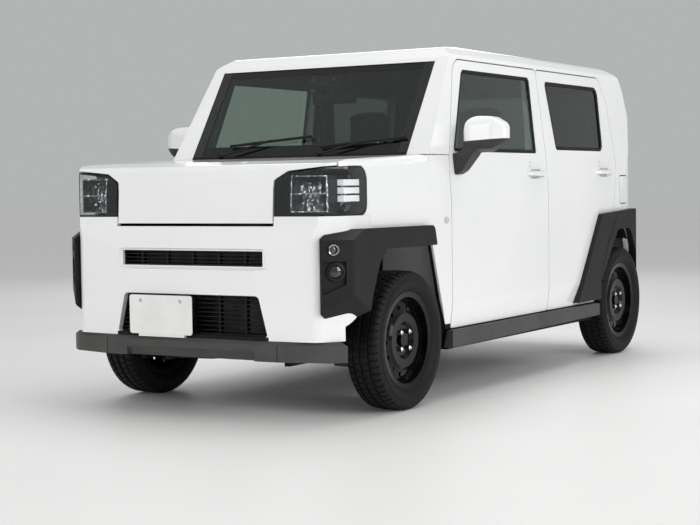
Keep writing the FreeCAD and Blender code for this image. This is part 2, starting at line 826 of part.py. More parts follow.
def bonnet_ledge():
    """The fender's inner flange under the bonnet's edge, with two rubber stops."""
    front_y = LAMP_REAR_Y + 20
    rear_y = BONNET_REAR_Y - 20
    lid_under = PANEL + SHUT_GAP
    shelf = layer(lid_under, lid_under + LEDGE_T,
                  box(FENDER_INNER_X - 36, FENDER_INNER_X + 30, front_y, rear_y, 900, BONNET_Z))
    web = layer(PANEL, lid_under, box(FENDER_INNER_X, FENDER_INNER_X + 30, front_y, rear_y, 960, BONNET_Z))
    ledge = shelf.fuse(web)
    for stop_y in (front_y + 60, rear_y - 120):
        at = Vector(FENDER_INNER_X - 20, stop_y, 960)
        ledge = ledge.fuse(layer(PANEL + SEAT_GAP, lid_under, cylinder(9, at, at + Vector(0, 0, 200))))
    return ledge


# Front bumper with its two air openings
SLOT = rounded_pairs([(0.0, 636), (362.0, 636, 4), (362.0, 699, 4), (0.0, 699)])
SLOT_RIM = rounded_pairs([(0.0, 614), (396.0, 614, 8), (382.0, 719, 8), (0.0, 719)])
LOWER_MOUTH = rounded_pairs([(0.0, 350), (388.0, 350, 10), (346.0, 517, 22), (0.0, 517)])
GUARD_TOP_Z = 335.0


def front_bumper():
    region = box(-900, 900, NOSE_Y - 40, BUMPER_REAR_Y - 1, GUARD_TOP_Z, BUMPER_TOP_Z)
    bumper = panel(region)
    bumper = bumper.cut(box(-BONNET_NOSE_X - SHUT_GAP, BONNET_NOSE_X + SHUT_GAP,
                            NOSE_Y - 40, NOSE_Y + 200, BONNET_LOW_Z - 12, BUMPER_TOP_Z + 10))
    bumper = bumper.cut(prism(SLOT, "front", NOSE_Y - 40, NOSE_Y + 200))
    bumper = bumper.cut(tapered(SLOT_RIM, "front", NOSE_Y + 12, NOSE_Y + 34, -16))
    bumper = bumper.cut(prism(LOWER_MOUTH, "front", NOSE_Y - 40, NOSE_Y + 200))
    arch = prism(FRONT_ARCH, "side", 300, SIDE_X + 200)
    return bumper.cut(arch).cut(mirrored(arch))


def grilles():
    """Fins behind the slot and the mouth, each grille in its own frame."""
    face_y = NOSE_Y + 20 + PANEL
    pieces = []
    for view, low, high, fins, bars in ((SLOT, 636.0, 699.0, 4, 6), (LOWER_MOUTH, 350.0, 517.0, 9, 6)):
        frame = grown(view, "front", face_y, face_y + 30, 14.0)
        frame = frame.cut(grown(view, "front", face_y - 5, face_y + 40, -6.0))
        clear = grown(view, "front", face_y, face_y + 30, -4.0)
        pitch = (high - low) / fins
        for index in range(1, fins):
            fin_z = low + pitch * index
            fin = box(-420, 420, face_y + 6, face_y + 26, fin_z - 2, fin_z + 2)
            frame = frame.fuse(fin.common(clear))
        for index in range(1, bars):
            bar_x = -400 + 800.0 / bars * index
            bar = box(bar_x - 3, bar_x + 3, face_y + 4, face_y + 28, low - 10, high + 10)
            frame = frame.fuse(bar.common(clear))
        pieces.append(frame.common(UNDER_SKIN))
    return Part.makeCompound(pieces)


# Dark guard bar along the bottom of the nose
GUARD_REAR_Y = back(-481)
GUARD_PLAN = rounded_pairs([
    (0.0, NOSE_Y),
    (440.0, NOSE_Y + 12, 60),
    (SIDE_X - 60, NOSE_Y + 66, 50),
    (SIDE_X + 12, GUARD_REAR_Y, 10),
    (SIDE_X - 70, GUARD_REAR_Y),
    (400.0, NOSE_Y + 110),
    (0.0, NOSE_Y + 100),
])
GUARD_LOW_Z = 252.0


GUARD_BEVEL = 15.0
GUARD_JOINT_X = 440.0


def front_guard():
    """A bar with a bevelled top edge, joint lines beside the middle part and a cut-back lip."""
    bevel_z = GUARD_TOP_Z - GUARD_BEVEL
    bar = prism(GUARD_PLAN, "plan", GUARD_LOW_Z, bevel_z)
    bar = bar.fuse(tapered(GUARD_PLAN, "plan", bevel_z, GUARD_TOP_Z, -GUARD_BEVEL))
    ramp = prism([
        (NOSE_Y - 10, GUARD_LOW_Z - 10),
        (NOSE_Y + 46, GUARD_LOW_Z - 10),
        (NOSE_Y + 8, GUARD_LOW_Z + 40),
        (NOSE_Y - 10, GUARD_LOW_Z + 40),
    ], "side", -330, 330)
    bar = bar.cut(ramp)
    for side in (-1, 1):
        joint_x = side * GUARD_JOINT_X
        bar = bar.cut(box(joint_x - 1.5, joint_x + 1.5, NOSE_Y - 10, NOSE_Y + 19, GUARD_LOW_Z - 1, GUARD_TOP_Z + 1))
    return bar


# Dark arch mouldings
FLARE_X = WIDTH / 2
FLARE_IN_X = SIDE_X - 80
FLARE_FACE_Y = NOSE_Y + 32
FLARE_BEND_Y = FLARE_FACE_Y + FLARE_X - FLARE_IN_X
FLARE_EDGE_Z = 745.0
FLARE_TOP_Z = 787.0
FRONT_FLARE = [
    (NOSE_Y + 10, 395),
    (back(-461), 395),
    (back(-347), 458),
    (back(-330), 512),
    (back(-273), 639, 30),
    (back(-214), 697, 20),
    (back(236), 697, 8),
    (back(212), FLARE_TOP_Z - 3, 30),
    (NOSE_Y + 75, FLARE_TOP_Z),
    (NOSE_Y + 30, FLARE_EDGE_Z),
]
FLARE_PLAN = [
    (FLARE_IN_X, FLARE_FACE_Y, 4),
    (FLARE_X, FLARE_BEND_Y, 18),
    (FLARE_X, back(400)),
    (FLARE_IN_X, back(400)),
]

# Lamps in the slanted face, measured along it from its inner edge
FOG_RECESS = [(14, 525, 3), (114, 566, 6), (114, 660, 6), (14, 660, 6)]
FOG_AT = (73.0, 618.0)
FOG_R = 37.0
TURN_AT = (59.0, 706.0)
TURN_R = 23.0


def on_flare_face(piece):
    """A piece drawn flat from the front, turned onto the moulding's slanted face."""
    piece.rotate(Vector(0, 0, 0), Vector(0, 0, 1), 45)
    piece.translate(Vector(FLARE_IN_X, FLARE_FACE_Y, 0))
    return piece


def round_lamp(at, radius, depth, rim):
    """A round lamp that stands in a well: a rim with a domed glass inside it."""
    floor = Vector(at[0], depth + 4, at[1])
    ring = cylinder(radius, Vector(at[0], rim, at[1]), floor)
    ring = ring.cut(cylinder(radius - 4, Vector(at[0], rim - 1, at[1]), floor))
    bulge = radius * 1.4
    dome = Part.makeSphere(bulge, Vector(at[0], rim + 3 + bulge, at[1]))
    return ring.fuse(dome.common(cylinder(radius - 3, Vector(at[0], rim, at[1]), floor)))


def front_flares():
    """The arch moulding with its corner facets, fog lamp recess and turn lamp."""
    flare = prism(FRONT_FLARE, "side", FLARE_IN_X - 10, FLARE_X + 10)
    flare = flare.common(prism(FLARE_PLAN, "plan", 300, 900)).cut(SKIN)
    flare = flare.cut(beyond(Vector(FLARE_IN_X, FLARE_FACE_Y, 455), Vector(0.72, -0.355, -0.59)))
    flare = flare.cut(beyond(Vector(FLARE_IN_X, FLARE_FACE_Y, FLARE_EDGE_Z), Vector(42, -42, 84)))
    flare = biggest(flare)
    flare = flare.cut(on_flare_face(prism(FOG_RECESS, "front", -20, 15)))
    flare = flare.cut(on_flare_face(
        cylinder(TURN_R + 2, Vector(TURN_AT[0], -20, TURN_AT[1]), Vector(TURN_AT[0], 7, TURN_AT[1]))))
    flare = flare.fuse(on_flare_face(round_lamp(FOG_AT, FOG_R, 15, 3)))
    return pair(biggest(flare.fuse(on_flare_face(round_lamp(TURN_AT, TURN_R, 7, -2)))))


REAR_FLARE = [
    (rear(-641), 326),
    (rear(-322), 326),
    (rear(-322), 425),
    (rear(-165), 600, 40),
    (rear(-70), 700, 40),
    (rear(110), 700, 60),
    (rear(285), 430),
    (rear(360), 412),
    (rear(360), 640),
    (rear(222), 808, 20),
    (rear(-303), 787, 25),
]


def rear_flare_whole():
    flare = prism(REAR_FLARE, "side", 600, FLARE_X)
    flare = flare.common(prism([
        (560.0, FRONT_AXLE_Y),
        (FLARE_X, FRONT_AXLE_Y),
        (FLARE_X, rear(200)),
        (FLARE_X - 24, TAIL_Y - 60),
        (600.0, TAIL_Y - 22),
        (560.0, TAIL_Y - 22),
    ], "plan", 300, 900))
    return flare.cut(SKIN)


def rear_flares():
    """The arch moulding behind the door's shut line."""
    return pair(biggest(rear_flare_whole().cut(door_cut(REAR_DOOR, SHUT_GAP))))


def rear_door_flare():
    """The front leg of the same moulding, fixed to the door."""
    return biggest(rear_flare_whole().common(door_cut(REAR_DOOR)))


# Sill mouldings
SKIRT_FRONT_Y = back(390)


def side_skirts():
    view = [
        (SKIRT_FRONT_Y, 228),
        (rear(-330), 240),
        (rear(-330), 300),
        (rear(-365), SILL_Z - SHUT_GAP),
        (SKIRT_FRONT_Y, SILL_Z - SHUT_GAP),
    ]
    skirt = prism(view, "side", 600, SIDE_X + 16)
    return pair(skirt.cut(SKIN.common(box(0, 900, -3000, 3000, 0, 3000))))


# Rear bumper
def rear_bumper():
    region = box(-900, 900, REAR_BUMPER_Y, TAIL_Y + 10, 340, TAILGATE_LOW_Z - SHUT_GAP)
    bumper = layer(0.0, 30.0, region)
    return biggest(bumper.cut(REAR_WHEEL_SPACE).cut(mirrored(REAR_WHEEL_SPACE)))


# Floor, bulkhead and load floor
def floor_pan():
    """A stepped floor between the sills, from the bulkhead to the tail."""
    view = [
        (BULKHEAD_Y, FLOOR_UNDER_Z),
        (rear(-400), FLOOR_UNDER_Z),
        (rear(-400), LOAD_FLOOR_Z - 40),
        (TAIL_Y - 55, LOAD_FLOOR_Z - 40),
        (TAIL_Y - 55, LOAD_FLOOR_Z),
        (rear(-420), LOAD_FLOOR_Z),
        (rear(-420), FLOOR_Z),
        (BULKHEAD_Y, FLOOR_Z),
    ]
    pan = prism(view, "side", -SIDE_FRAME_X, SIDE_FRAME_X)
    return pan.cut(REAR_HOUSE).cut(mirrored(REAR_HOUSE))


def rear_panel():
    """The wall below the tailgate, with the load sill along its top."""
    return box(-REAR_HOUSE_X, REAR_HOUSE_X, TAIL_Y - 100, TAIL_Y - 55, 360, TAILGATE_LOW_Z - SHUT_GAP)


FRONT_HOUSE_X = WHEEL_X - 260
APRON = 25.0
APRON_FRONT_Y = back(-430)
HOUSE_TOP_Z = 735.0
HOUSE_REAR_Y = BULKHEAD_Y - 20


def front_frame():
    """Inner aprons over the front wheels, joined by the bulkhead."""
    wall = box(FRONT_HOUSE_X - APRON, FRONT_HOUSE_X, APRON_FRONT_Y, HOUSE_REAR_Y, FLOOR_UNDER_Z, HOUSE_TOP_Z)
    lid = box(FRONT_HOUSE_X - APRON, SIDE_X, back(-340), HOUSE_REAR_Y, HOUSE_TOP_Z, HOUSE_TOP_Z + APRON)
    rail = box(FRONT_HOUSE_X - APRON, FRONT_HOUSE_X + 30, APRON_FRONT_Y, back(-340), HOUSE_TOP_Z - 30,
               HOUSE_TOP_Z + APRON)
    side = wall.fuse(lid).fuse(rail)
    bulkhead = box(-SIDE_FRAME_X, SIDE_FRAME_X, HOUSE_REAR_Y, BULKHEAD_Y, FLOOR_UNDER_Z, 880)
    shelf = box(-SIDE_FRAME_X, SIDE_FRAME_X, back(280), BULKHEAD_Y, 860, 880)
    rise = box(-SIDE_FRAME_X, SIDE_FRAME_X, back(280), back(300), 860, 1010)
    frame = side.fuse(mirrored(side)).fuse(bulkhead).fuse(shelf).fuse(rise)
    return frame.common(UNDER_SKIN)


# Wheels
def tyre(centre_x, axle_y):
    half = TYRE_WIDTH / 2
    seat = RIM_WIDTH / 2 - 6 - SEAT_GAP
    side = [
        (190 + SEAT_GAP, seat - 4),
        (RIM_R + 1, seat),
        (RIM_R + 7, half - 13),
        (RIM_R + 16, half - 5),
        (244, half),
        (262, half - 1),
        (TYRE_R - 15, half - 5),
        (TYRE_R - 5, half - 13),
        (TYRE_R, half - 26),
    ]
    profile = side + [(radius, -offset) for radius, offset in reversed(side)]
    return spun(profile, centre_x, axle_y)


def spun(profile, centre_x, axle_y):
    """A ring from a profile of radius and offset, spun about the wheel's axle."""
    points = [(point[1], point[0]) + tuple(point[2:]) for point in profile]
    face = Part.Face(outline(points, "front", 0.0))
    ring = face.revolve(Vector(0, 0, 0), Vector(1, 0, 0), 360)
    ring.translate(Vector(centre_x, axle_y, TYRE_R))
    return ring


def left_wheel(centre_x, axle_y):
    """A pressed steel wheel: a stepped rim and a vented disc, with its brake and hub."""
    edge = RIM_WIDTH / 2
    rim = [
        (RIM_R, edge),
        (RIM_R, edge - 6),
        (190, edge - 10),
        (188, 20),
        (168, 12),
        (168, -14),
        (188, -24),
        (190, -edge + 10),
        (RIM_R, -edge + 6),
        (RIM_R, -edge),
        (185, -edge + 4),
        (183, -26),
        (163, -18),
        (163, 16),
        (183, 24),
        (185, edge - 4),
    ]
    disc = [
        (0, 30), (30, 30), (30, 33), (66, 33), (80, 48), (116, 50), (130, 42), (160, 34), (183.5, 27),
        (183.5, 22), (160, 28), (130, 36), (114, 44), (82, 42), (70, 24), (0, 24),
    ]
    wheel = spun(rim, centre_x, axle_y).fuse(spun(disc, centre_x, axle_y))
    hub = spun([(HUB_BORE_R, 24), (62, 24), (62, 10), (115, 10), (115, -8), (48, -8), (48, -20),
                (HUB_BORE_R, -20)], centre_x, axle_y)
    wheel = wheel.fuse(hub)
    for index in range(14):
        angle = 2 * math.pi * index / 14
        at = Vector(centre_x, axle_y + 145 * math.cos(angle), TYRE_R + 145 * math.sin(angle))
        wheel = wheel.cut(cylinder(9.0, at + Vector(18, 0, 0), at + Vector(60, 0, 0)))
    for index in range(4):
        angle = math.pi / 4 + math.pi / 2 * index
        at = Vector(centre_x + 32, axle_y + 50 * math.cos(angle), TYRE_R + 50 * math.sin(angle))
        wheel = wheel.fuse(cylinder(10.0, at, at + Vector(16, 0, 0)))
    cap = cylinder(27.0, Vector(centre_x + 28, axle_y, TYRE_R), Vector(centre_x + 44, axle_y, TYRE_R))
    return wheel.fuse(cap)


HUB_BORE_R = 16.05
STUB_R = 16.0

# Front suspension: the strut stands on the steering axis
KING_LEAN = math.radians(10)
BALL = Vector(WHEEL_X - 75, FRONT_AXLE_Y, 190)
KING = Vector(-math.sin(KING_LEAN), 0, math.cos(KING_LEAN))


def on_king(height):
    """The point of the steering axis at a height above the ground."""
    return BALL + KING * ((height - BALL.z) / KING.z)


def knuckle():
    """Hub carrier, strut and spring, all turning about the steering axis."""
    strut = cylinder(26, on_king(240), on_king(640))
    rod = cylinder(11, on_king(640), on_king(728))
    cup = cylinder(48, on_king(608), on_king(616))
    spring = cylinder(44, on_king(616), on_king(712)).cut(cylinder(34, on_king(610), on_king(716)))
    top = cylinder(52, on_king(712), on_king(720))
    carrier = box(548, 596, FRONT_AXLE_Y - 45, FRONT_AXLE_Y + 45, 205, 400)
    stub = cylinder(STUB_R, Vector(590, FRONT_AXLE_Y, TYRE_R), Vector(WHEEL_X + 20, FRONT_AXLE_Y, TYRE_R))
    socket = cylinder(24, BALL + KING * 8, BALL + KING * 40)
    body = carrier.fuse(strut).fuse(stub).fuse(socket).fuse(rod).fuse(cup).fuse(spring).fuse(top)
    cuff = Part.makeSphere(18.5, BALL)
    return body.cut(cuff)


def front_suspension():
    """Cross-member, lower arms with their ball joints, and the steering rack."""
    beam = box(APRON - FRONT_HOUSE_X, FRONT_HOUSE_X - APRON, back(40), back(120), 205, 265)
    arm = prism([
        (330.0, back(20)),
        (560.0, back(-16), 10),
        (590.0, back(-16), 10),
        (590.0, back(16), 10),
        (560.0, back(16), 10),
        (330.0, back(140)),
    ], "plan", 168, 186)
    arm = arm.cut(cylinder(30, BALL - Vector(0, 0, 60), BALL + Vector(0, 0, 60)))
    seat = cylinder(30, Vector(BALL.x, BALL.y, 160), Vector(BALL.x, BALL.y, 176))
    ball = Part.makeSphere(18, BALL)
    neck = cylinder(9, Vector(BALL.x, BALL.y, 165), BALL)
    arm = arm.fuse(seat).fuse(ball).fuse(neck)
    bracket = box(322, 350, back(30), back(130), 168, 265)
    left = arm.fuse(bracket)
    return beam.fuse(left).fuse(mirrored(left))


# Rear suspension
def rear_axle():
    """A twist beam with trailing arms, hubs' stubs, springs and dampers."""
    beam = box(-430, 430, rear(-190), rear(-120), 250, 320)
    arm = box(400, 460, rear(-400), rear(60), 260, 320)
    stub = cylinder(STUB_R, Vector(455, REAR_AXLE_Y, TYRE_R), Vector(WHEEL_X + 20, REAR_AXLE_Y, TYRE_R))
    carrier = box(455, 596, rear(-40), rear(40), 250, 340)
    spring = cylinder(50, Vector(400, rear(-60), 320), Vector(400, rear(-60), LOAD_FLOOR_Z - 40 - SEAT_GAP))
    left = arm.fuse(stub).fuse(carrier).fuse(spring)
    return beam.fuse(left).fuse(mirrored(left))


# Heavy or plain masses below and behind the nose
def engine_block():
    return box(-330, 300, back(-250), back(110), 270, 760).fuse(
        box(-300, 250, back(-120), back(40), 205, 270))


def radiator():
    """The core in its frame: a tie bar, a foot and two posts that meet the aprons."""
    front_y = back(-495)
    core = box(-340, 340, front_y + 12, front_y + 48, 330, 760)
    tie = box(-FRONT_HOUSE_X, FRONT_HOUSE_X, front_y, APRON_FRONT_Y, 760, 795)
    foot = box(-FRONT_HOUSE_X, FRONT_HOUSE_X, front_y, APRON_FRONT_Y, 296, 330)
    post = box(340, FRONT_HOUSE_X, front_y, APRON_FRONT_Y, 330, 760)
    return core.fuse(tie).fuse(foot).fuse(post).fuse(mirrored(post))


def fuel_tank():
    return prism([
        (rear(-400), 225, 20),
        (rear(-210), 225, 20),
        (rear(-210), 480, 20),
        (rear(-400), 480, 20),
    ], "side", -380, 380)


PIPE_Z = 188.0


def exhaust():
    """A pipe under the floor, a cross silencer behind the axle, and two hangers."""
    front_end = Vector(-60, back(150), PIPE_Z)
    bend = Vector(-60, rear(-90), PIPE_Z)
    silencer_z = 320.0
    pipe = cylinder(22, front_end, bend)
    elbow = Part.makeSphere(22, bend)
    rise = cylinder(22, bend, Vector(-60, rear(90), silencer_z))
    silencer = cylinder(72, Vector(-330, rear(120), silencer_z), Vector(90, rear(120), silencer_z))
    tail = cylinder(18, Vector(-300, rear(120), 300), Vector(-300, TAIL_Y - 20, 300))
    hanger = cylinder(6, Vector(-60, back(900), PIPE_Z), Vector(-60, back(900), FLOOR_UNDER_Z))
    strap = cylinder(6, Vector(-200, rear(120), silencer_z), Vector(-200, rear(120), LOAD_FLOOR_Z - 40))
    return pipe.fuse(elbow).fuse(rise).fuse(silencer).fuse(tail).fuse(hanger).fuse(strap)


# Inside the cabin
DRIVER_X = -330.0


def dashboard():
    view = [
        (back(302), 884),
        (back(302), 1020, 20),
        (back(420), 1060, 30),
        (back(640), 1040, 30),
        (back(660), 900, 40),
        (back(560), 760, 40),
        (back(400), 760),
        (back(400), 884),
    ]
    board = prism(view, "side", -CABIN_X + 2, CABIN_X - 2).common(CABIN)
    console = box(-80, 80, back(400), back(620), FLOOR_Z + SEAT_GAP, 780)
    hood = prism([
        (back(520), 1040),
        (back(560), 1092, 30),
        (back(648), 1080, 12),
        (back(640), 1020),
    ], "side", DRIVER_X - 150, DRIVER_X + 150)
    dial_well = prism([
        (back(600), 1030),
        (back(600), 1078, 10),
        (back(660), 1070),
        (back(660), 1000),
    ], "side", DRIVER_X - 138, DRIVER_X + 138)
    screen = prism([(-112.0, 950, 6), (112.0, 950, 6), (112.0, 1088, 6), (-112.0, 1088, 6)],
                   "front", back(640), back(664))
    glove_box = box(-DRIVER_X - 190, -DRIVER_X + 190, back(650), back(670), 790, 930)
    glove_line = glove_box.cut(box(-DRIVER_X - 186, -DRIVER_X + 186, back(640), back(680), 794, 926))
    board = board.fuse(hood).cut(dial_well).fuse(screen).cut(glove_line)
    return board.fuse(console).fuse(steering_column())


WHEEL_RIM_R = 180.0
COLUMN_LEAN = math.radians(28)
COLUMN = Vector(0, math.cos(COLUMN_LEAN), math.sin(COLUMN_LEAN))
COLUMN_HUB = Vector(DRIVER_X, back(745), 985)


def steering_wheel():
    """A rim, three spokes and a boss on the end of the column."""
    rim = Part.makeTorus(WHEEL_RIM_R, 14, COLUMN_HUB, COLUMN)
    boss = cylinder(62, COLUMN_HUB - COLUMN * 40, COLUMN_HUB + COLUMN * 8)
    across = Vector(1, 0, 0)
    down = COLUMN.cross(across)
    spokes = cylinder(13, COLUMN_HUB - across * WHEEL_RIM_R - COLUMN * 6, COLUMN_HUB + across * WHEEL_RIM_R - COLUMN * 6)
    low = cylinder(13, COLUMN_HUB - COLUMN * 6, COLUMN_HUB - down * WHEEL_RIM_R - COLUMN * 6)
    return rim.fuse(boss).fuse(spokes).fuse(low)


def steering_column():
    return cylinder(38, COLUMN_HUB - COLUMN * 170, COLUMN_HUB - COLUMN * (40 + SEAT_GAP))


def seat(centre_x, half, front_y, back_y, base_z, cushion_z, top_z, lean):
    """A cushion and a backrest as one padded form, with its headrest apart on two posts."""
    cushion = prism([
        (front_y, base_z, 20),
        (back_y, base_z, 20),
        (back_y, cushion_z - 20, 30),
        (front_y, cushion_z, 50),
    ], "side", centre_x - half, centre_x + half)
    rest = prism([
        (back_y - 90, base_z + 10, 20),
        (back_y + 20, base_z + 10, 20),
        (back_y + 20 + lean, top_z, 40),
        (back_y - 90 + lean, top_z, 40),
    ], "side", centre_x - half + 10, centre_x + half - 10)
    head = prism([
        (back_y - 70 + lean, top_z + 18, 25),
        (back_y + 10 + lean, top_z + 18, 25),
        (back_y + 20 + lean, top_z + 190, 30),
        (back_y - 60 + lean, top_z + 190, 30),
    ], "side", centre_x - 125, centre_x + 125)
    posts = [cylinder(6, Vector(centre_x + side, back_y - 30 + lean, top_z - 20),
                      Vector(centre_x + side, back_y - 30 + lean, top_z + 40)) for side in (-50, 50)]
    return cushion.fuse(rest).fuse(head).fuse(posts[0]).fuse(posts[1])


def front_seats():
    one = seat(-DRIVER_X, 240, back(850), back(1370), FLOOR_Z + 120, 640, 1170, 150)
    base = box(-DRIVER_X - 200, -DRIVER_X + 200, back(900), back(1320), FLOOR_Z + SEAT_GAP, FLOOR_Z + 125)
    return pair(one.fuse(base))


def rear_seat():
    bench = seat(0, 470, back(1720), rear(-450), FLOOR_Z + 120, 640, LOAD_FLOOR_Z + 480, 140)
    base = box(-440, 440, back(1760), rear(-460), FLOOR_Z + SEAT_GAP, FLOOR_Z + 125)
    return biggest(bench.fuse(base).cut(floor_pan()))


# Door mirrors
MIRROR_Y = back(515)
MIRROR_VIEW = [
    (SIDE_X + 28, 1100, 28),
    (SIDE_X + 152, 1103, 60),
    (SIDE_X + 232, 1152, 30),
    (SIDE_X + 232, 1226, 40),
    (SIDE_X + 170, 1262, 70),
    (SIDE_X + 62, 1268, 60),
    (SIDE_X + 28, 1210, 50),
]


def mirror():
    """A rounded shell round its glass, on a foot that rises from the door below the window."""
    shell = prism(MIRROR_VIEW, "front", MIRROR_Y - 60, MIRROR_Y + 45)
    shell = shell.common(prism([
        (SIDE_X + 20, MIRROR_Y - 22, 20),
        (SIDE_X + 60, MIRROR_Y - 58, 40),
        (SIDE_X + 175, MIRROR_Y - 50, 60),
        (SIDE_X + 236, MIRROR_Y - 8, 30),
        (SIDE_X + 236, MIRROR_Y + 30),
        (SIDE_X + 20, MIRROR_Y + 42),
    ], "plan", 1090, 1280))
    shell = shell.common(prism([
        (MIRROR_Y - 60, 1120, 30),
        (MIRROR_Y + 50, 1094),
        (MIRROR_Y + 50, 1275),
        (MIRROR_Y - 20, 1270, 60),
        (MIRROR_Y - 60, 1220, 50),
    ], "side", SIDE_X, SIDE_X + 260))
    shell = shell.cut(grown(MIRROR_VIEW, "front", MIRROR_Y + 24, MIRROR_Y + 60, -9))
    foot = prism([
        (SIDE_X - 30, 1008),
        (SIDE_X + 6, 1004, 8),
        (SIDE_X + 34, 1022, 16),
        (SIDE_X + 92, 1102),
        (SIDE_X + 92, 1118),
        (SIDE_X + 34, 1118),
        (SIDE_X - 30, 1090),
    ], "front", MIRROR_Y - 58, MIRROR_Y + 30)
    foot = foot.common(prism([
        (MIRROR_Y - 58, 1092),
        (MIRROR_Y - 48, 1000, 14),
        (MIRROR_Y + 10, 1000, 20),
        (MIRROR_Y + 30, 1092),
        (MIRROR_Y + 20, 1130),
        (MIRROR_Y - 40, 1130),
    ], "side", SIDE_X - 40, SIDE_X + 100))
    return shell.fuse(foot.cut(SKIN))


# Number plate, off to the car's right, on its bracket
PLATE_X = -140.0


def front_plate():
    plate = prism([
        (PLATE_X - 165, 346, 12),
        (PLATE_X + 165, 346, 12),
        (PLATE_X + 165, 511, 12),
        (PLATE_X - 165, 511, 12),
    ], "front", NOSE_Y + 2, NOSE_Y + 4)
    bracket = box(PLATE_X - 120, PLATE_X + 120, NOSE_Y + 4, NOSE_Y + 20, GUARD_TOP_Z, 500)
    whole = plate.fuse(bracket)
    for hole_x in (PLATE_X - 105, PLATE_X + 105):
        whole = whole.cut(cylinder(4, Vector(hole_x, NOSE_Y - 10, 487), Vector(hole_x, NOSE_Y + 12, 487)))
    return whole


def write(name, shape):
    solids = shape.Solids
    if len(solids) == 1:
        shape = solids[0]
    else:
        shape = Part.makeCompound(solids)
    shape.exportStep("parts/" + name + ".step")
    print(name, len(solids), round(shape.Volume / 1e6, 2), shape.isValid())


def main():
    os.makedirs("parts", exist_ok=True)
    write("floor_pan", floor_pan().fuse(rear_panel()))
    write("side_frame_left", side_frame(True))
    write("side_frame_right", mirrored(side_frame(False)))
    write("roof_panel", roof_panel())
    write("roof_glass", roof_glass())
    write("windscreen", windscreen())
    write("cowl", cowl())
    write("wipers", wipers())
    write("front_frame", front_frame())
    write("front_fenders", front_fenders())
    write("front_bumper", front_bumper())
    write("grilles", grilles())
    write("front_guard", front_guard())
    write("front_flares", front_flares())
    write("rear_flares", rear_flares())
    write("side_skirts", side_skirts())
    write("door_seals", door_seals())
    write("rear_bumper", rear_bumper())
    write("headlamps", headlamps())
    write("headlamp_lenses", headlamp_lenses())
    write("tail_lamps", tail_lamps())
    write("front_plate", front_plate())
    write("engine_block", engine_block())
    write("radiator", radiator())
    write("front_suspension", front_suspension())
    write("rear_axle", rear_axle())
    write("fuel_tank", fuel_tank())
    write("exhaust", exhaust())
    write("dashboard", dashboard())
    write("steering_wheel", steering_wheel())
    write("front_seats", front_seats())
    write("rear_seat", rear_seat())
    write("bonnet", bonnet())
    write("tailgate", tailgate())
    write("tailgate_glass", tailgate_glass())
    write("tailgate_trim", tailgate_trim())
    write("fuel_lid", fuel_lid())
    front = door(FRONT_DOOR, FRONT_WINDOW, FRONT_HANDLE, FRONT_REST)
    back_door = door(REAR_DOOR, REAR_WINDOW, REAR_HANDLE, REAR_REST)
    front_pane = door_glass(FRONT_WINDOW)
    rear_pane = door_glass(REAR_WINDOW)
    side_mirror = mirror()
    flare = rear_door_flare()
    upright = knuckle()
    for side, turn in (("left", lambda shape: shape), ("right", mirrored)):
        write("front_door_" + side, turn(front))
        write("front_glass_" + side, turn(front_pane))
        write("mirror_" + side, turn(side_mirror))
        write("rear_door_" + side, turn(back_door))
        write("rear_glass_" + side, turn(rear_pane))
        write("rear_door_flare_" + side, turn(flare))
        write("knuckle_" + side, turn(upright))
        for end, axle_y in (("front", FRONT_AXLE_Y), ("rear", REAR_AXLE_Y)):
            write("wheel_" + end + "_" + side, turn(left_wheel(WHEEL_X, axle_y)))
            write("tyre_" + end + "_" + side, turn(tyre(WHEEL_X, axle_y)))


main()
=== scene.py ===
import math

import bmesh
import bpy
from mathutils import Matrix, Vector


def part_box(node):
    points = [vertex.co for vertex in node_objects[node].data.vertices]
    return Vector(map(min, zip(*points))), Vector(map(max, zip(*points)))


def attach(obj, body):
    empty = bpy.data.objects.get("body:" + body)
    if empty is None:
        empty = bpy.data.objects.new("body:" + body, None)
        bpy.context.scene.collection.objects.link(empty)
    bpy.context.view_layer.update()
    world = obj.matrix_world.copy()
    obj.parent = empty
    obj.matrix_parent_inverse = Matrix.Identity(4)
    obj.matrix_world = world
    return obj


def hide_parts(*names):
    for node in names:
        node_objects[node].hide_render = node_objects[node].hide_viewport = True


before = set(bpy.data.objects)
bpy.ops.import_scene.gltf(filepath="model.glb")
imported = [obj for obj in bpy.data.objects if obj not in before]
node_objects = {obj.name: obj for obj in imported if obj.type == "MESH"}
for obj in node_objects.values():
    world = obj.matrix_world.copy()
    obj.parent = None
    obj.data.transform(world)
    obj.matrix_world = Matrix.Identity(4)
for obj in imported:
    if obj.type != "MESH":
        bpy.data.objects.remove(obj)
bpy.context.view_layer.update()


# Camera: it stands ahead of the car's left front corner at chest height, with a
# mild telephoto lens, as the photograph was taken. Its focal length and the picture's
# width are in pixels.
sensor_width = 36.0
picture_width = 700.0
focal_length = 1554.0
camera_place = (3.918, -6.875, 0.964)
camera_data = bpy.data.cameras.new("camera")
camera_data.sensor_width = sensor_width
camera_data.lens = sensor_width * focal_length / picture_width
camera_data.clip_end = 200.0
camera = bpy.data.objects.new("camera", camera_data)
bpy.context.scene.collection.objects.link(camera)
camera_yaw = math.radians(-31.08)
camera_pitch = math.radians(-2.86)
camera_roll = math.radians(-0.80)
look = Vector((
    math.sin(camera_yaw) * math.cos(camera_pitch),
    math.cos(camera_yaw) * math.cos(camera_pitch),
    math.sin(camera_pitch),
))
level_right = Vector((math.cos(camera_yaw), -math.sin(camera_yaw), 0.0))
level_up = level_right.cross(look)
image_right = level_right * math.cos(camera_roll) + level_up * math.sin(camera_roll)
image_up = level_up * math.cos(camera_roll) - level_right * math.sin(camera_roll)
facing = Matrix((image_right, image_up, -look)).transposed().to_4x4()
camera.matrix_world = Matrix.Translation(camera_place) @ facing
bpy.context.scene.camera = camera
bpy.context.scene.view_settings.view_transform = "Standard"


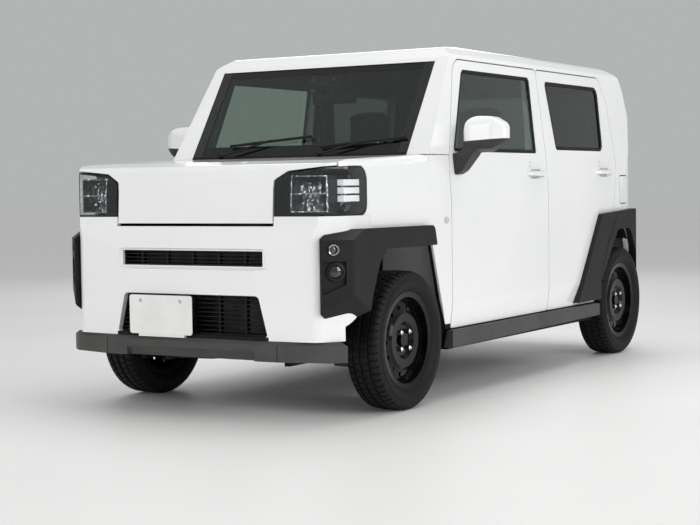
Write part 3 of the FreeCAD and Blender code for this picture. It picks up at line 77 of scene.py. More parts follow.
# Studio: a plain pale floor that keeps the car's shadow, a pale grey surround, and
# large soft lamps overhead and beside the car. The camera, glass and bright metal
# see the grey surround, and the lamps give most of the light.
def new_finish(name):
    """A node material with its main shader."""
    material = bpy.data.materials.new(name)
    material.use_nodes = True
    tree = material.node_tree
    return material, tree, tree.nodes["Principled BSDF"]


def tune(node, **settings):
    """Sets a node's plain sockets by name, and gives the node back."""
    for socket, value in settings.items():
        node.inputs[socket.replace("_", " ")].default_value = value
    return node


bpy.ops.object.select_all(action="DESELECT")
bpy.ops.mesh.primitive_plane_add(size=120.0, location=(0.0, 0.0, 0.0))
floor = bpy.context.object
floor.name = "studio_floor"
floor_finish, tree, shader = new_finish("pale_floor")
tune(shader, Roughness=0.45)
coordinates = tree.nodes.new("ShaderNodeTexCoord")
mottle = tune(tree.nodes.new("ShaderNodeTexNoise"), Scale=0.8)
tree.links.new(coordinates.outputs["Object"], mottle.inputs["Vector"])
floor_tones = tree.nodes.new("ShaderNodeValToRGB")
floor_tones.color_ramp.elements[0].color = (0.80, 0.80, 0.79, 1.0)
floor_tones.color_ramp.elements[1].color = (0.86, 0.86, 0.85, 1.0)
tree.links.new(mottle.outputs["Fac"], floor_tones.inputs["Fac"])
tree.links.new(floor_tones.outputs["Color"], shader.inputs["Base Color"])
floor.data.materials.append(floor_finish)

world = bpy.data.worlds.new("studio")
bpy.context.scene.world = world
world.use_nodes = True
tree = world.node_tree
surround = tree.nodes["Background"]
tune(surround, Color=(1.0, 1.0, 1.0, 1.0), Strength=0.55)
seen_surround = tune(tree.nodes.new("ShaderNodeBackground"), Color=(0.44, 0.46, 0.45, 1.0), Strength=1.0)
light_path = tree.nodes.new("ShaderNodeLightPath")
seen_rays = light_path.outputs["Is Camera Ray"]
for ray_kind in ("Is Glossy Ray", "Is Transmission Ray"):
    either = tree.nodes.new("ShaderNodeMath")
    either.operation = "MAXIMUM"
    tree.links.new(seen_rays, either.inputs[0])
    tree.links.new(light_path.outputs[ray_kind], either.inputs[1])
    seen_rays = either.outputs["Value"]
which = tree.nodes.new("ShaderNodeMixShader")
tree.links.new(seen_rays, which.inputs["Fac"])
tree.links.new(surround.outputs["Background"], which.inputs[1])
tree.links.new(seen_surround.outputs["Background"], which.inputs[2])
tree.links.new(which.outputs["Shader"], tree.nodes["World Output"].inputs["Surface"])

for lamp_name, place, aim, lamp_size, power in (
    ("overhead_lamp", (0.5, 0.8, 5.5), (0.0, 0.0, 0.0), 4.0, 120.0),
    ("left_lamp", (7.0, -1.5, 3.0), (0.7, 0.0, 0.8), 4.0, 208.0),
    ("front_lamp", (-1.0, -7.5, 3.2), (0.0, -1.5, 0.7), 4.0, 128.0),
    ("rear_lamp", (-4.0, 6.5, 4.0), (0.0, 0.8, 0.8), 4.0, 85.0),
):
    lamp_data = bpy.data.lights.new(lamp_name, "AREA")
    lamp_data.energy = power
    lamp_data.size = lamp_size
    lamp = bpy.data.objects.new(lamp_name, lamp_data)
    lamp.location = place
    lamp.rotation_euler = (Vector(aim) - Vector(place)).to_track_quat("-Z", "Y").to_euler()
    bpy.context.scene.collection.objects.link(lamp)


# Painted body: pressed steel panels in glossy white, with a clear coat whose faint
# orange peel shows in the highlights. Inside, the same panels wear dark moulded trim,
# which starts where a face looks into the cabin. Wheel houses are lined in black, and the
# foot of the white sill under the doors is painted black as painted shade.
def tones(tree, shader, scale, dark, light):
    """A base colour that runs between two tones in a soft noise in the piece's own space."""
    coordinates = tree.nodes.new("ShaderNodeTexCoord")
    noise = tune(tree.nodes.new("ShaderNodeTexNoise"), Scale=scale, Detail=4.0)
    tree.links.new(coordinates.outputs["Object"], noise.inputs["Vector"])
    ramp = tree.nodes.new("ShaderNodeValToRGB")
    for element, share, colour in zip(ramp.color_ramp.elements, (0.35, 0.65), (dark, light)):
        element.position = share
        element.color = tuple(colour) + (1.0,)
    tree.links.new(noise.outputs["Fac"], ramp.inputs["Fac"])
    tree.links.new(ramp.outputs["Color"], shader.inputs["Base Color"])


def ripple(tree, shader, scale, strength, distance, round_edge=0.0):
    """Fine relief on the shader's normal, over edges rounded for the light."""
    coordinates = tree.nodes.new("ShaderNodeTexCoord")
    noise = tune(tree.nodes.new("ShaderNodeTexNoise"), Scale=scale, Detail=2.0)
    tree.links.new(coordinates.outputs["Object"], noise.inputs["Vector"])
    bump = tune(tree.nodes.new("ShaderNodeBump"), Strength=strength, Distance=distance)
    tree.links.new(noise.outputs["Fac"], bump.inputs["Height"])
    if round_edge > 0.0:
        edge = tune(tree.nodes.new("ShaderNodeBevel"), Radius=round_edge)
        edge.samples = 4
        tree.links.new(edge.outputs["Normal"], bump.inputs["Normal"])
    tree.links.new(bump.outputs["Normal"], shader.inputs["Normal"])


def overlay(tree, mask):
    """A second finish laid over what the material has so far, wherever the mask is one."""
    surface = tree.nodes["Material Output"].inputs["Surface"]
    covered = surface.links[0].from_socket
    cover = tree.nodes.new("ShaderNodeBsdfPrincipled")
    choice = tree.nodes.new("ShaderNodeMixShader")
    tree.links.new(mask, choice.inputs["Fac"])
    tree.links.new(covered, choice.inputs[1])
    tree.links.new(cover.outputs["BSDF"], choice.inputs[2])
    tree.links.new(choice.outputs["Shader"], surface)
    return cover


def calc(tree, operation, first, second=0.0):
    """What an operation makes of one or two sockets or numbers."""
    node = tree.nodes.new("ShaderNodeMath")
    node.operation = operation
    for index, value in enumerate((first, second)):
        if isinstance(value, float):
            node.inputs[index].default_value = value
        else:
            tree.links.new(value, node.inputs[index])
    return node.outputs["Value"]


def above(tree, value, limit):
    """One where a value is over a limit."""
    return calc(tree, "GREATER_THAN", value, limit)


def below(tree, value, limit):
    """One where a value is under a limit."""
    return calc(tree, "LESS_THAN", value, limit)


def all_of(tree, *masks):
    """One where every mask is one."""
    result = masks[0]
    for mask in masks[1:]:
        result = calc(tree, "MULTIPLY", result, mask)
    return result


def any_of(tree, *masks):
    """One where some mask is one."""
    result = masks[0]
    for mask in masks[1:]:
        result = calc(tree, "MAXIMUM", result, mask)
    return result


def between(tree, value, low, high):
    """One where a value lies between two limits."""
    return all_of(tree, above(tree, value, low), below(tree, value, high))


def looking(tree, direction, limit):
    """One where the surface looks along a direction."""
    coordinates = tree.nodes.new("ShaderNodeTexCoord")
    facing = tree.nodes.new("ShaderNodeVectorMath")
    facing.operation = "DOT_PRODUCT"
    facing.inputs[1].default_value = direction
    tree.links.new(coordinates.outputs["Normal"], facing.inputs[0])
    return above(tree, facing.outputs["Value"], limit)


def position(tree):
    """The three parts of a point's place in the piece's own space."""
    coordinates = tree.nodes.new("ShaderNodeTexCoord")
    parts = tree.nodes.new("ShaderNodeSeparateXYZ")
    tree.links.new(coordinates.outputs["Object"], parts.inputs["Vector"])
    return parts.outputs["X"], parts.outputs["Y"], parts.outputs["Z"]


def folded(tree):
    """A point's place, with the car's two sides folded onto one."""
    x, y, z = position(tree)
    return calc(tree, "ABSOLUTE", x), y, z


def clear_coat(tree, shader):
    """Smooth enamel under a clear coat."""
    tune(shader, Roughness=0.22, Coat_Weight=0.8, Coat_Roughness=0.03)
    ripple(tree, shader, 160.0, 0.04, 0.0006, 0.003)


trim_facing = 0.45
door_trim_x = 0.6395
belt_z = 1.0


def white_paint(name, inward=None, trim_x=None):
    """White enamel; trim where a face looks inward, and inboard of trim_x below the belt."""
    material, tree, shader = new_finish(name)
    tones(tree, shader, 1.5, (0.84, 0.845, 0.85), (0.88, 0.882, 0.885))
    clear_coat(tree, shader)
    if inward is None:
        return material
    inside = looking(tree, inward, trim_facing)
    if trim_x is not None:
        x, _, z = folded(tree)
        inside = any_of(tree, inside, all_of(tree, below(tree, x, trim_x), below(tree, z, belt_z)))
    trim = overlay(tree, inside)
    tones(tree, trim, 40.0, (0.035, 0.035, 0.037), (0.05, 0.05, 0.052))
    tune(trim, Roughness=0.6)
    ripple(tree, trim, 900.0, 0.25, 0.0004)
    return material


def dress(finish, *names):
    """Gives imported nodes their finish."""
    for name in names:
        node_objects[name].data.materials.clear()
        node_objects[name].data.materials.append(finish)


def black_liner_and_painted_shade(tree, mask):
    """Moulded black fleece or plastic that lines a wheel house; the same black is also laid on as painted
    shade.
    """
    liner = overlay(tree, mask)
    tune(liner, Base_Color=(0.008, 0.008, 0.008, 1.0), Roughness=0.75, Specular_IOR_Level=0.2)


def middle_of(node):
    """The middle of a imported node's box."""
    low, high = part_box(node)
    return (low + high) / 2


arch_edge_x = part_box("side_frame_left")[1][0] - 0.010
wheel_house_half = 0.42
wheel_house_top = 0.80


def wheel_house(tree, tyre_node):
    """One inside a wheel house: inboard of the arch's edge, near the axle and low down."""
    x, y, z = folded(tree)
    axle_y = middle_of(tyre_node)[1]
    near_axle = between(tree, y, axle_y - wheel_house_half, axle_y + wheel_house_half)
    return all_of(tree, below(tree, x, arch_edge_x), near_axle, below(tree, z, wheel_house_top))


dress(white_paint("white_enamel"), "bonnet", "rear_bumper", "fuel_lid")
fender_paint = white_paint("white_enamel_fenders")
black_liner_and_painted_shade(fender_paint.node_tree, wheel_house(fender_paint.node_tree, "tyre_front_left"))
dress(fender_paint, "front_fenders")

apron_paint = white_paint("white_enamel_aprons")
apron_foot_z = 0.50
tree = apron_paint.node_tree
x, _, z = position(tree)
out_left = all_of(tree, looking(tree, (1.0, 0.0, 0.0), 0.3), above(tree, x, 0.0))
out_right = all_of(tree, looking(tree, (-1.0, 0.0, 0.0), 0.3), below(tree, x, 0.0))
black_liner_and_painted_shade(tree, any_of(tree, out_left, out_right, below(tree, z, apron_foot_z)))
dress(apron_paint, "front_frame")

bumper_paint = white_paint("white_enamel_bumper")
mouth_half = 0.392
mouth_foot_z = 0.3505
tree = bumper_paint.node_tree
x, _, z = folded(tree)
mouth_ledge = all_of(tree, below(tree, x, mouth_half), below(tree, z, mouth_foot_z))
black_liner_and_painted_shade(tree, any_of(tree, mouth_ledge, looking(tree, (0.0, 1.0, 0.0), 0.3)))
dress(bumper_paint, "front_bumper")

# The sill below the doors is white paint in shadow; its foot is painted black here as painted shade.
shaded_sill_z = 0.3275
for side, inward in (("left", (-1.0, 0.0, 0.0)), ("right", (1.0, 0.0, 0.0))):
    frame_paint = white_paint("white_enamel_frame_" + side, inward)
    tree = frame_paint.node_tree
    painted_sill_shade = below(tree, position(tree)[2], shaded_sill_z)
    black_liner_and_painted_shade(tree, any_of(tree, painted_sill_shade, wheel_house(tree, "tyre_rear_left")))
    dress(frame_paint, "side_frame_" + side)
    door_paint = white_paint("white_enamel_doors_" + side, inward, door_trim_x)
    dress(door_paint, "front_door_" + side, "rear_door_" + side)
dress(white_paint("white_enamel_roof", (0.0, 0.0, -1.0)), "roof_panel")
dress(white_paint("white_enamel_rear", (0.0, -1.0, 0.0)), "tailgate")


# Glass: lightly green windscreen and front door panes, dark privacy panes behind
# them and in the roof. Laminated or tempered sheets, bonded or sliding in channels. The
# bonded ones have a black enamel border over the bead.
def glazing(name, colour):
    material, tree, shader = new_finish(name)
    tones(tree, shader, 0.7, [0.96 * tone for tone in colour], colour)
    tune(shader, Transmission_Weight=1.0, Roughness=0.0, IOR=1.5)
    return material


dress(glazing("green_pane", (0.55, 0.63, 0.59)), "front_glass_left", "front_glass_right")
dress(glazing("privacy_pane", (0.13, 0.15, 0.15)), "rear_glass_left", "rear_glass_right")
for node, name, colour, along, side_border, start_border, end_border in (
    ("windscreen", "windscreen_pane", (0.50, 0.58, 0.54), 2, 0.032, 0.045, 0.032),
    ("roof_glass", "roof_pane", (0.10, 0.11, 0.11), 1, 0.040, 0.040, 0.040),
    ("tailgate_glass", "tailgate_pane", (0.10, 0.12, 0.12), 2, 0.047, 0.035, 0.035),
):
    bonded_pane = glazing(name, colour)
    tree = bonded_pane.node_tree
    low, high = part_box(node)
    place = folded(tree)
    at_side = above(tree, place[0], high[0] - side_border)
    at_start = below(tree, place[along], low[along] + start_border)
    at_end = above(tree, place[along], high[along] - end_border)
    border = overlay(tree, any_of(tree, at_side, at_start, at_end))
    tune(border, Base_Color=(0.006, 0.006, 0.006, 1.0), Roughness=0.12)
    dress(bonded_pane, node)


# Mouldings: arch mouldings, guard bar and sill covers in dark grey polypropylene
# with a fine moulded grain; cowl, wipers and grilles in smoother black. Each front arch
# moulding holds a turn lamp in a plated ring, over a fog lamp in a dark one.
def moulded(name, dark, light, roughness, grain_scale, grain):
    material, tree, shader = new_finish(name)
    tones(tree, shader, 6.0, dark, light)
    tune(shader, Roughness=roughness, Specular_IOR_Level=0.25)
    ripple(tree, shader, grain_scale, grain, 0.0005, 0.002)
    return material


def vector_calc(tree, operation, first, second):
    """The node that works out an operation on a vector socket and a fixed vector."""
    node = tree.nodes.new("ShaderNodeVectorMath")
    node.operation = operation
    tree.links.new(first, node.inputs[0])
    node.inputs[1].default_value = second
    return node


def round_spot(tree, centre, axis, radius):
    """One within a radius of an axis, on both sides of the car."""
    place = tree.nodes.new("ShaderNodeCombineXYZ")
    for part, value in zip("XYZ", folded(tree)):
        tree.links.new(value, place.inputs[part])
    away = vector_calc(tree, "SUBTRACT", place.outputs["Vector"], centre)
    turned = vector_calc(tree, "CROSS_PRODUCT", away.outputs["Vector"], axis)
    distance = tree.nodes.new("ShaderNodeVectorMath")
    distance.operation = "LENGTH"
    tree.links.new(turned.outputs["Vector"], distance.inputs[0])
    return below(tree, distance.outputs["Value"], radius)


def small_lamp(tree, centre, axis, ring_radius, ring_tone, glass_radius, glass_colour):
    """A small round lamp: a plated ring with a dark glass inside it."""
    ring = overlay(tree, round_spot(tree, centre, axis, ring_radius))
    tune(ring, Base_Color=(ring_tone, ring_tone, ring_tone, 1.0), Metallic=1.0, Roughness=0.15)
    glass = overlay(tree, round_spot(tree, centre, axis, glass_radius))
    tune(glass, Base_Color=glass_colour, Roughness=0.04, Coat_Weight=1.0)


flare_finish = ((0.0075, 0.0075, 0.0070), (0.0120, 0.0120, 0.0114), 0.5, 700.0, 0.35)
guard_finish = ((0.056, 0.056, 0.055), (0.072, 0.072, 0.070), 0.5, 700.0, 0.35)
grey_moulding = moulded("grained_grey", *flare_finish)
guard_moulding = moulded("grained_guard", *guard_finish)
black_moulding = moulded("satin_black", (0.005, 0.005, 0.005), (0.010, 0.010, 0.010), 0.42, 500.0, 0.15)
dress(grey_moulding, "rear_flares", "rear_door_flare_left", "rear_door_flare_right")
dress(guard_moulding, "front_guard", "side_skirts")
dress(black_moulding, "cowl", "wipers", "grilles", "fuel_tank", "tailgate_trim")
seal_rubber = moulded("seal_rubber", (0.008, 0.008, 0.008), (0.014, 0.014, 0.014), 0.6, 300.0, 0.2)
dress(seal_rubber, "door_seals")

flare_moulding = moulded("grained_grey_with_lamps", *flare_finish)
flare_low, flare_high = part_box("front_flares")
lamp_face_width = 0.1055
slant = math.sqrt(0.5)
for along_face, lamp_z, ring_radius, ring_tone, glass_radius, glass_colour in (
    (0.073, 0.618, 0.0375, 0.06, 0.031, (0.006, 0.008, 0.014, 1.0)),
    (0.059, 0.706, 0.0225, 0.62, 0.0165, (0.030, 0.030, 0.032, 1.0)),
):
    centre = Vector((flare_high[0] - lamp_face_width, flare_low[1], 0.0))
    centre += Vector((along_face * slant, along_face * slant, lamp_z))
    small_lamp(flare_moulding.node_tree, centre, (slant, -slant, 0.0), ring_radius, ring_tone,
               glass_radius, glass_colour)
dress(flare_moulding, "front_flares")


# Window rubbers: extruded black weatherstrip round each pane, pushed into the
# opening's edge, so that it frames the glass and fills the step up to the paint.
def select_alone(piece=None):
    """Leaves edit mode and selects one piece alone, or nothing."""
    if bpy.context.mode != "OBJECT":
        bpy.ops.object.mode_set(mode="OBJECT")
    bpy.ops.object.select_all(action="DESELECT")
    if piece is not None:
        piece.select_set(True)
        bpy.context.view_layer.objects.active = piece


def start_edit(piece):
    """Opens one piece for shaping, with nothing selected in it."""
    select_alone(piece)
    bpy.ops.object.mode_set(mode="EDIT")
    bpy.ops.mesh.select_all(action="DESELECT")


def pick_faces(piece, wanted):
    """Selects the faces that the test wants, by their place and normal."""
    bpy.ops.mesh.select_mode(type="FACE")
    shell = bmesh.from_edit_mesh(piece.data)
    for face in shell.faces:
        face.select_set(wanted(face.calc_center_median(), face.normal))
    shell.select_flush_mode()
    bmesh.update_edit_mesh(piece.data)


def merged_copy(name, node):
    """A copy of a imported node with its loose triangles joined."""
    piece = bpy.data.objects.new(name, node_objects[node].data.copy())
    bpy.context.scene.collection.objects.link(piece)
    piece.data.materials.clear()
    start_edit(piece)
    bpy.ops.mesh.customdata_custom_splitnormals_clear()
    bpy.ops.mesh.select_all(action="SELECT")
    bpy.ops.mesh.remove_doubles(threshold=0.00002)
    return piece


def keep_outline(piece, unwanted):
    """Takes away the faces that the test picks, and joins the rest into flat faces."""
    pick_faces(piece, unwanted)
    bpy.ops.mesh.delete(type="FACE")
    bpy.ops.mesh.select_all(action="SELECT")
    bpy.ops.mesh.dissolve_limited(angle_limit=math.radians(1.0))


def apply_modifiers(piece):
    select_alone(piece)
    for modifier in list(piece.modifiers):
        bpy.ops.object.modifier_apply(modifier=modifier.name)


def give(piece, finish, body):
    """A piece's finish and the body that it moves with."""
    piece.data.materials.clear()
    piece.data.materials.append(finish)
    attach(piece, body)


rubber_height = 0.0062
lip_radius = 0.0012


def window_rubber(node, outward, width, body):
    rubber = merged_copy("rubber_" + node, node)
    keep_outline(rubber, lambda middle, normal: normal.dot(outward) < 0.7)
    bpy.ops.mesh.select_all(action="SELECT")
    bpy.ops.mesh.inset(thickness=width, depth=0.0, use_boundary=True, use_even_offset=True)
    bpy.ops.mesh.delete(type="FACE")
    bpy.ops.object.mode_set(mode="OBJECT")
    wall = rubber.modifiers.new("wall", "SOLIDIFY")
    wall.thickness = rubber_height
    wall.offset = 1.0
    wall.use_even_offset = True
    lips = rubber.modifiers.new("lips", "BEVEL")
    lips.width = lip_radius
    lips.segments = 2
    lips.limit_method = "ANGLE"
    apply_modifiers(rubber)
    give(rubber, seal_rubber, body)


sides = (("left", 1.0), ("right", -1.0))
for side, out in sides:
    outward = Vector((out, 0.0, 0.0))
    window_rubber("front_glass_" + side, outward, 0.016, "front_door_" + side)
    window_rubber("rear_glass_" + side, outward, 0.018, "rear_door_" + side)


# Lamps: gloss black housings behind clear covers at the front, each with a plated,
# faceted reflector and three white light bars. Behind, red covers with an orange turn
# band over a clear reversing band.
housing_black = moulded("lamp_housing", (0.008, 0.008, 0.009), (0.014, 0.014, 0.015), 0.2, 200.0, 0.02)
reflector_x = (0.4785, 0.6355)
reflector_z = (0.8565, 1.0035)
tree = housing_black.node_tree
x, _, z = folded(tree)
in_reflector = all_of(tree, between(tree, x, *reflector_x), between(tree, z, *reflector_z),
                      looking(tree, (0.0, -1.0, 0.0), -0.5))
plating = overlay(tree, in_reflector)
tune(plating, Base_Color=(0.30, 0.31, 0.32, 1.0), Metallic=1.0, Roughness=0.12)
coordinates = tree.nodes.new("ShaderNodeTexCoord")
facets = tune(tree.nodes.new("ShaderNodeTexVoronoi"), Scale=46.0)
tree.links.new(coordinates.outputs["Object"], facets.inputs["Vector"])
dimples = tune(tree.nodes.new("ShaderNodeBump"), Strength=0.8, Distance=0.010)
tree.links.new(facets.outputs["Distance"], dimples.inputs["Height"])
tree.links.new(dimples.outputs["Normal"], plating.inputs["Normal"])
bar_x = (0.6395, 0.6725)
bar_half = 0.0122
bar_rows = [between(tree, z, bar_z - bar_half, bar_z + bar_half) for bar_z in (0.909, 0.9415, 0.974)]
light_bars = overlay(tree, all_of(tree, between(tree, x, *bar_x), any_of(tree, *bar_rows)))
tune(light_bars, Base_Color=(0.88, 0.89, 0.90, 1.0), Roughness=0.3)
tune(light_bars, Emission_Color=(1.0, 1.0, 1.0, 1.0), Emission_Strength=0.45)
dress(housing_black, "headlamps")

lamp_cover, tree, shader = new_finish("lamp_cover")
tune(shader, Base_Color=(0.93, 0.95, 0.96, 1.0), Transmission_Weight=1.0, Roughness=0.02, IOR=1.45)
ripple(tree, shader, 12.0, 0.02, 0.001)
dress(lamp_cover, "headlamp_lenses")

red_cover, tree, shader = new_finish("red_cover")
tones(tree, shader, 60.0, (0.28, 0.004, 0.006), (0.42, 0.010, 0.012))
tune(shader, Roughness=0.08, Coat_Weight=1.0)
ripple(tree, shader, 90.0, 0.1, 0.001, 0.003)
lamp_foot_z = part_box("tail_lamps")[0][2]
turn_band_z = (lamp_foot_z + 0.062, lamp_foot_z + 0.118)
z = position(tree)[2]
reverse_glass = overlay(tree, below(tree, z, lamp_foot_z + 0.060))
tune(reverse_glass, Base_Color=(0.62, 0.62, 0.63, 1.0), Roughness=0.1)
turn_glass = overlay(tree, between(tree, z, *turn_band_z))
tune(turn_glass, Base_Color=(0.62, 0.20, 0.02, 1.0), Roughness=0.1)
dress(red_cover, "tail_lamps")


# Number plate: a blank pressed plate in white enamel, held by two bolts on its bracket
# in the middle of the front bumper.
plate_white, tree, shader = new_finish("plate_white")
tones(tree, shader, 12.0, (0.78, 0.78, 0.77), (0.84, 0.84, 0.83))
tune(shader, Roughness=0.35)
ripple(tree, shader, 300.0, 0.05, 0.0005, 0.001)
dress(plate_white, "front_plate")


# Running gear: black chassis paint, raw castings, a dark radiator and a dull pipe. The
# floor is sealed in dull black below and carpeted above.
def metal(name, dark, light, metallic, roughness, scale, relief):
    material, tree, shader = new_finish(name)
    tones(tree, shader, 9.0, dark, light)
    tune(shader, Metallic=metallic, Roughness=roughness)
    ripple(tree, shader, scale, relief, 0.001, 0.002)
    return material


chassis_paint = metal("chassis_paint", (0.018, 0.018, 0.018), (0.035, 0.033, 0.031), 0.0, 0.5, 250.0, 0.2)
raw_casting = metal("cast_aluminium", (0.32, 0.32, 0.33), (0.48, 0.48, 0.49), 0.9, 0.5, 400.0, 0.3)
radiator_core = metal("radiator_core", (0.03, 0.03, 0.03), (0.07, 0.07, 0.07), 0.7, 0.5, 300.0, 0.2)
pipe_steel = metal("pipe_steel", (0.22, 0.20, 0.18), (0.38, 0.36, 0.33), 0.9, 0.45, 150.0, 0.3)
dress(chassis_paint, "front_suspension", "rear_axle", "knuckle_left", "knuckle_right")
dress(raw_casting, "engine_block")
dress(radiator_core, "radiator")
dress(pipe_steel, "exhaust")
pan_finish = metal("underseal", (0.020, 0.020, 0.020), (0.035, 0.034, 0.033), 0.0, 0.8, 120.0, 0.5)
tree = pan_finish.node_tree
carpet = overlay(tree, looking(tree, (0.0, 0.0, 1.0), 0.5))
tones(tree, carpet, 420.0, (0.012, 0.012, 0.013), (0.034, 0.034, 0.036))
tune(carpet, Roughness=0.95)
ripple(tree, carpet, 700.0, 0.6, 0.002)
dress(pan_finish, "floor_pan")


# Door mirrors: white painted caps over dark moulded lower shells and feet, with the
# silvered glass set into the back of each shell. Each shell is drawn smooth ahead of its
# rim and above its foot, and the seam under its cap rises outwards.
def silver(tree, mask, roughness):
    """Mirror glass, silvered behind."""
    tune(overlay(tree, mask), Base_Color=(0.80, 0.82, 0.84, 1.0), Metallic=1.0, Roughness=roughness)


def pick_corners(piece, wanted):
    """Selects the corners that the test wants."""
    bpy.ops.mesh.select_mode(type="VERT")
    shell = bmesh.from_edit_mesh(piece.data)
    for corner in shell.verts:
        corner.select_set(wanted(corner.co))
    bmesh.update_edit_mesh(piece.data)


def smooth(piece, degrees):
    """Shades a piece smooth except across sharp edges."""
    select_alone(piece)
    bpy.ops.object.shade_smooth_by_angle(angle=math.radians(degrees))


mirror_low, mirror_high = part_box("mirror_left")
cap_height = 0.117
seam_slope = 0.055
glass_rim_y = mirror_high[1] - 0.022
foot_top_z = mirror_low[2] + 0.095
shell_voxel = 0.003
mirror_finish = moulded("mirror_shell", (0.030, 0.030, 0.030), (0.042, 0.042, 0.041), 0.45, 600.0, 0.2)
tree = mirror_finish.node_tree
x, y, z = folded(tree)
seam_rise = calc(tree, "MULTIPLY", calc(tree, "SUBTRACT", x, mirror_low[0]), seam_slope)
over_seam = above(tree, calc(tree, "SUBTRACT", z, seam_rise), mirror_high[2] - cap_height)
cap = tune(overlay(tree, over_seam), Base_Color=(0.86, 0.862, 0.866, 1.0))
clear_coat(tree, cap)
in_rim = all_of(tree, looking(tree, (0.0, 1.0, 0.0), 0.95), below(tree, y, mirror_high[1] - 0.008))
silver(tree, in_rim, 0.03)
dress(mirror_finish, "mirror_left", "mirror_right")

for side, out in sides:
    mirror_shell = merged_copy("mirror_shell_" + side, "mirror_" + side)
    bpy.ops.object.mode_set(mode="OBJECT")
    mirror_shell.data.remesh_voxel_size = shell_voxel
    bpy.ops.object.voxel_remesh()
    start_edit(mirror_shell)
    pick_corners(mirror_shell, lambda place: place.y < glass_rim_y and place.z > foot_top_z)
    bpy.ops.mesh.vertices_smooth(factor=0.5, repeat=40)
    smooth(mirror_shell, 35.0)
    give(mirror_shell, mirror_finish, "front_door_" + side)
    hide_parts("mirror_" + side)


# Wheels and tyres: stamped steel discs in gloss black enamel, and black rubber tyres with
# three grooves round the tread, slots across its shoulders and sipes in its ribs.
def spun_ring(name, profile, steps):
    """A ring made by drawing a closed profile point by point and spinning it about X."""
    select_alone()
    bpy.ops.mesh.primitive_plane_add(size=0.01)
    ring = bpy.context.object
    ring.name = name
    bpy.ops.object.mode_set(mode="EDIT")
    bpy.ops.mesh.select_mode(type="VERT")
    bpy.ops.mesh.select_all(action="SELECT")
    bpy.ops.mesh.merge(type="CENTER")
    offset, radius = profile[0]
    bpy.ops.transform.translate(value=(offset, 0.0, radius))
    for before, after in zip(profile, profile[1:]):
        step = (after[0] - before[0], 0.0, after[1] - before[1])
        bpy.ops.mesh.extrude_region_move(TRANSFORM_OT_translate={"value": step})
    bpy.ops.mesh.select_all(action="SELECT")
    bpy.ops.mesh.spin(steps=steps, angle=2 * math.pi, center=(0.0, 0.0, 0.0), axis=(1.0, 0.0, 0.0))
    bpy.ops.mesh.select_all(action="SELECT")
    bpy.ops.mesh.remove_doubles(threshold=0.00005)
    bpy.ops.mesh.normals_make_consistent(inside=False)
    bpy.ops.object.mode_set(mode="OBJECT")
    return ring


def both_sides(points):
    """A profile from its outer half, listed from the bead to the tread's middle."""
    return points + [(-offset, radius) for offset, radius in reversed(points)]


wheel_enamel, tree, shader = new_finish("wheel_enamel")
tones(tree, shader, 14.0, (0.002, 0.002, 0.0022), (0.004, 0.004, 0.0044))
tune(shader, Roughness=0.10, Specular_IOR_Level=0.2)
ripple(tree, shader, 120.0, 0.06, 0.0008, 0.002)
tyre_rubber = moulded("tyre_rubber", (0.004, 0.004, 0.004), (0.008, 0.008, 0.008), 0.62, 260.0, 0.2)
tyre_low, tyre_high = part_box("tyre_front_left")
tyre_radius = (tyre_high[2] - tyre_low[2]) / 2
tyre_half = (tyre_high[0] - tyre_low[0]) / 2
tyre_steps = 240
shoulder_x = 0.0415
shoulder_radius = 0.2855
outer_rib_x = 0.0325
inner_rib_x = 0.0085
groove_depth = 0.0070
tyre_profile = both_sides([
    (0.0575, 0.1905), (0.0600, 0.2080), (0.0660, 0.2130), (0.0715, 0.2190), (0.0760, 0.2260),
    (0.0745, 0.2275), (0.0775, 0.2310), (tyre_half - 0.0005, 0.2420), (tyre_half, 0.2500),
    (tyre_half - 0.0012, 0.2600), (tyre_half - 0.0030, 0.2605), (tyre_half - 0.0032, 0.2640),
    (tyre_half - 0.0040, 0.2740), (tyre_half - 0.0080, 0.2850), (tyre_half - 0.0150, 0.2930),
    (0.0560, tyre_radius - 0.0012), (shoulder_x, tyre_radius - 0.0005),
    (0.0400, tyre_radius - groove_depth), (0.0340, tyre_radius - groove_depth),
    (outer_rib_x, tyre_radius - 0.0002), (inner_rib_x, tyre_radius),
    (0.0070, tyre_radius - groove_depth),
])
tyre_profile.append(tyre_profile[0])
tyre = spun_ring("tyre", tyre_profile, tyre_steps)


def in_turn(middle, turn):
    """Whether a face lies on every fourth of the spin's steps, counted from a turn."""
    step = int(math.atan2(middle.y, middle.z) / (2 * math.pi) * tyre_steps + tyre_steps) % tyre_steps
    return step % 4 == turn


def shoulder_slot(middle, normal):
    on_shoulder = abs(middle.x) > shoulder_x and math.hypot(middle.y, middle.z) > shoulder_radius
    return on_shoulder and in_turn(middle, 0)


def rib_slot(middle, normal):
    on_tread = math.hypot(middle.y, middle.z) > tyre_radius - 0.001
    return on_tread and inner_rib_x < abs(middle.x) < outer_rib_x and in_turn(middle, 2)


start_edit(tyre)
for slot_test, slot_depth in ((shoulder_slot, 0.0050), (rib_slot, 0.0030)):
    pick_faces(tyre, slot_test)
    bpy.ops.mesh.extrude_region_shrink_fatten(TRANSFORM_OT_shrink_fatten={"value": -slot_depth})
bpy.ops.mesh.select_all(action="SELECT")
bpy.ops.mesh.normals_make_consistent(inside=False)
smooth(tyre, 35.0)


def copy_to(piece, name, place, out=1.0):
    """A copy with its own mesh, moved to its place, and mirrored where out is negative."""
    copy = bpy.data.objects.new(name, piece.data.copy())
    bpy.context.scene.collection.objects.link(copy)
    copy.data.transform(Matrix.Translation(place))
    if out < 0.0:
        copy.data.transform(Matrix.Diagonal((-1.0, 1.0, 1.0, 1.0)))
        copy.data.flip_normals()
    return copy


def remove_pattern(piece):
    """Takes away the first of a set, once its copies are in place."""
    bpy.data.objects.remove(piece, do_unlink=True)


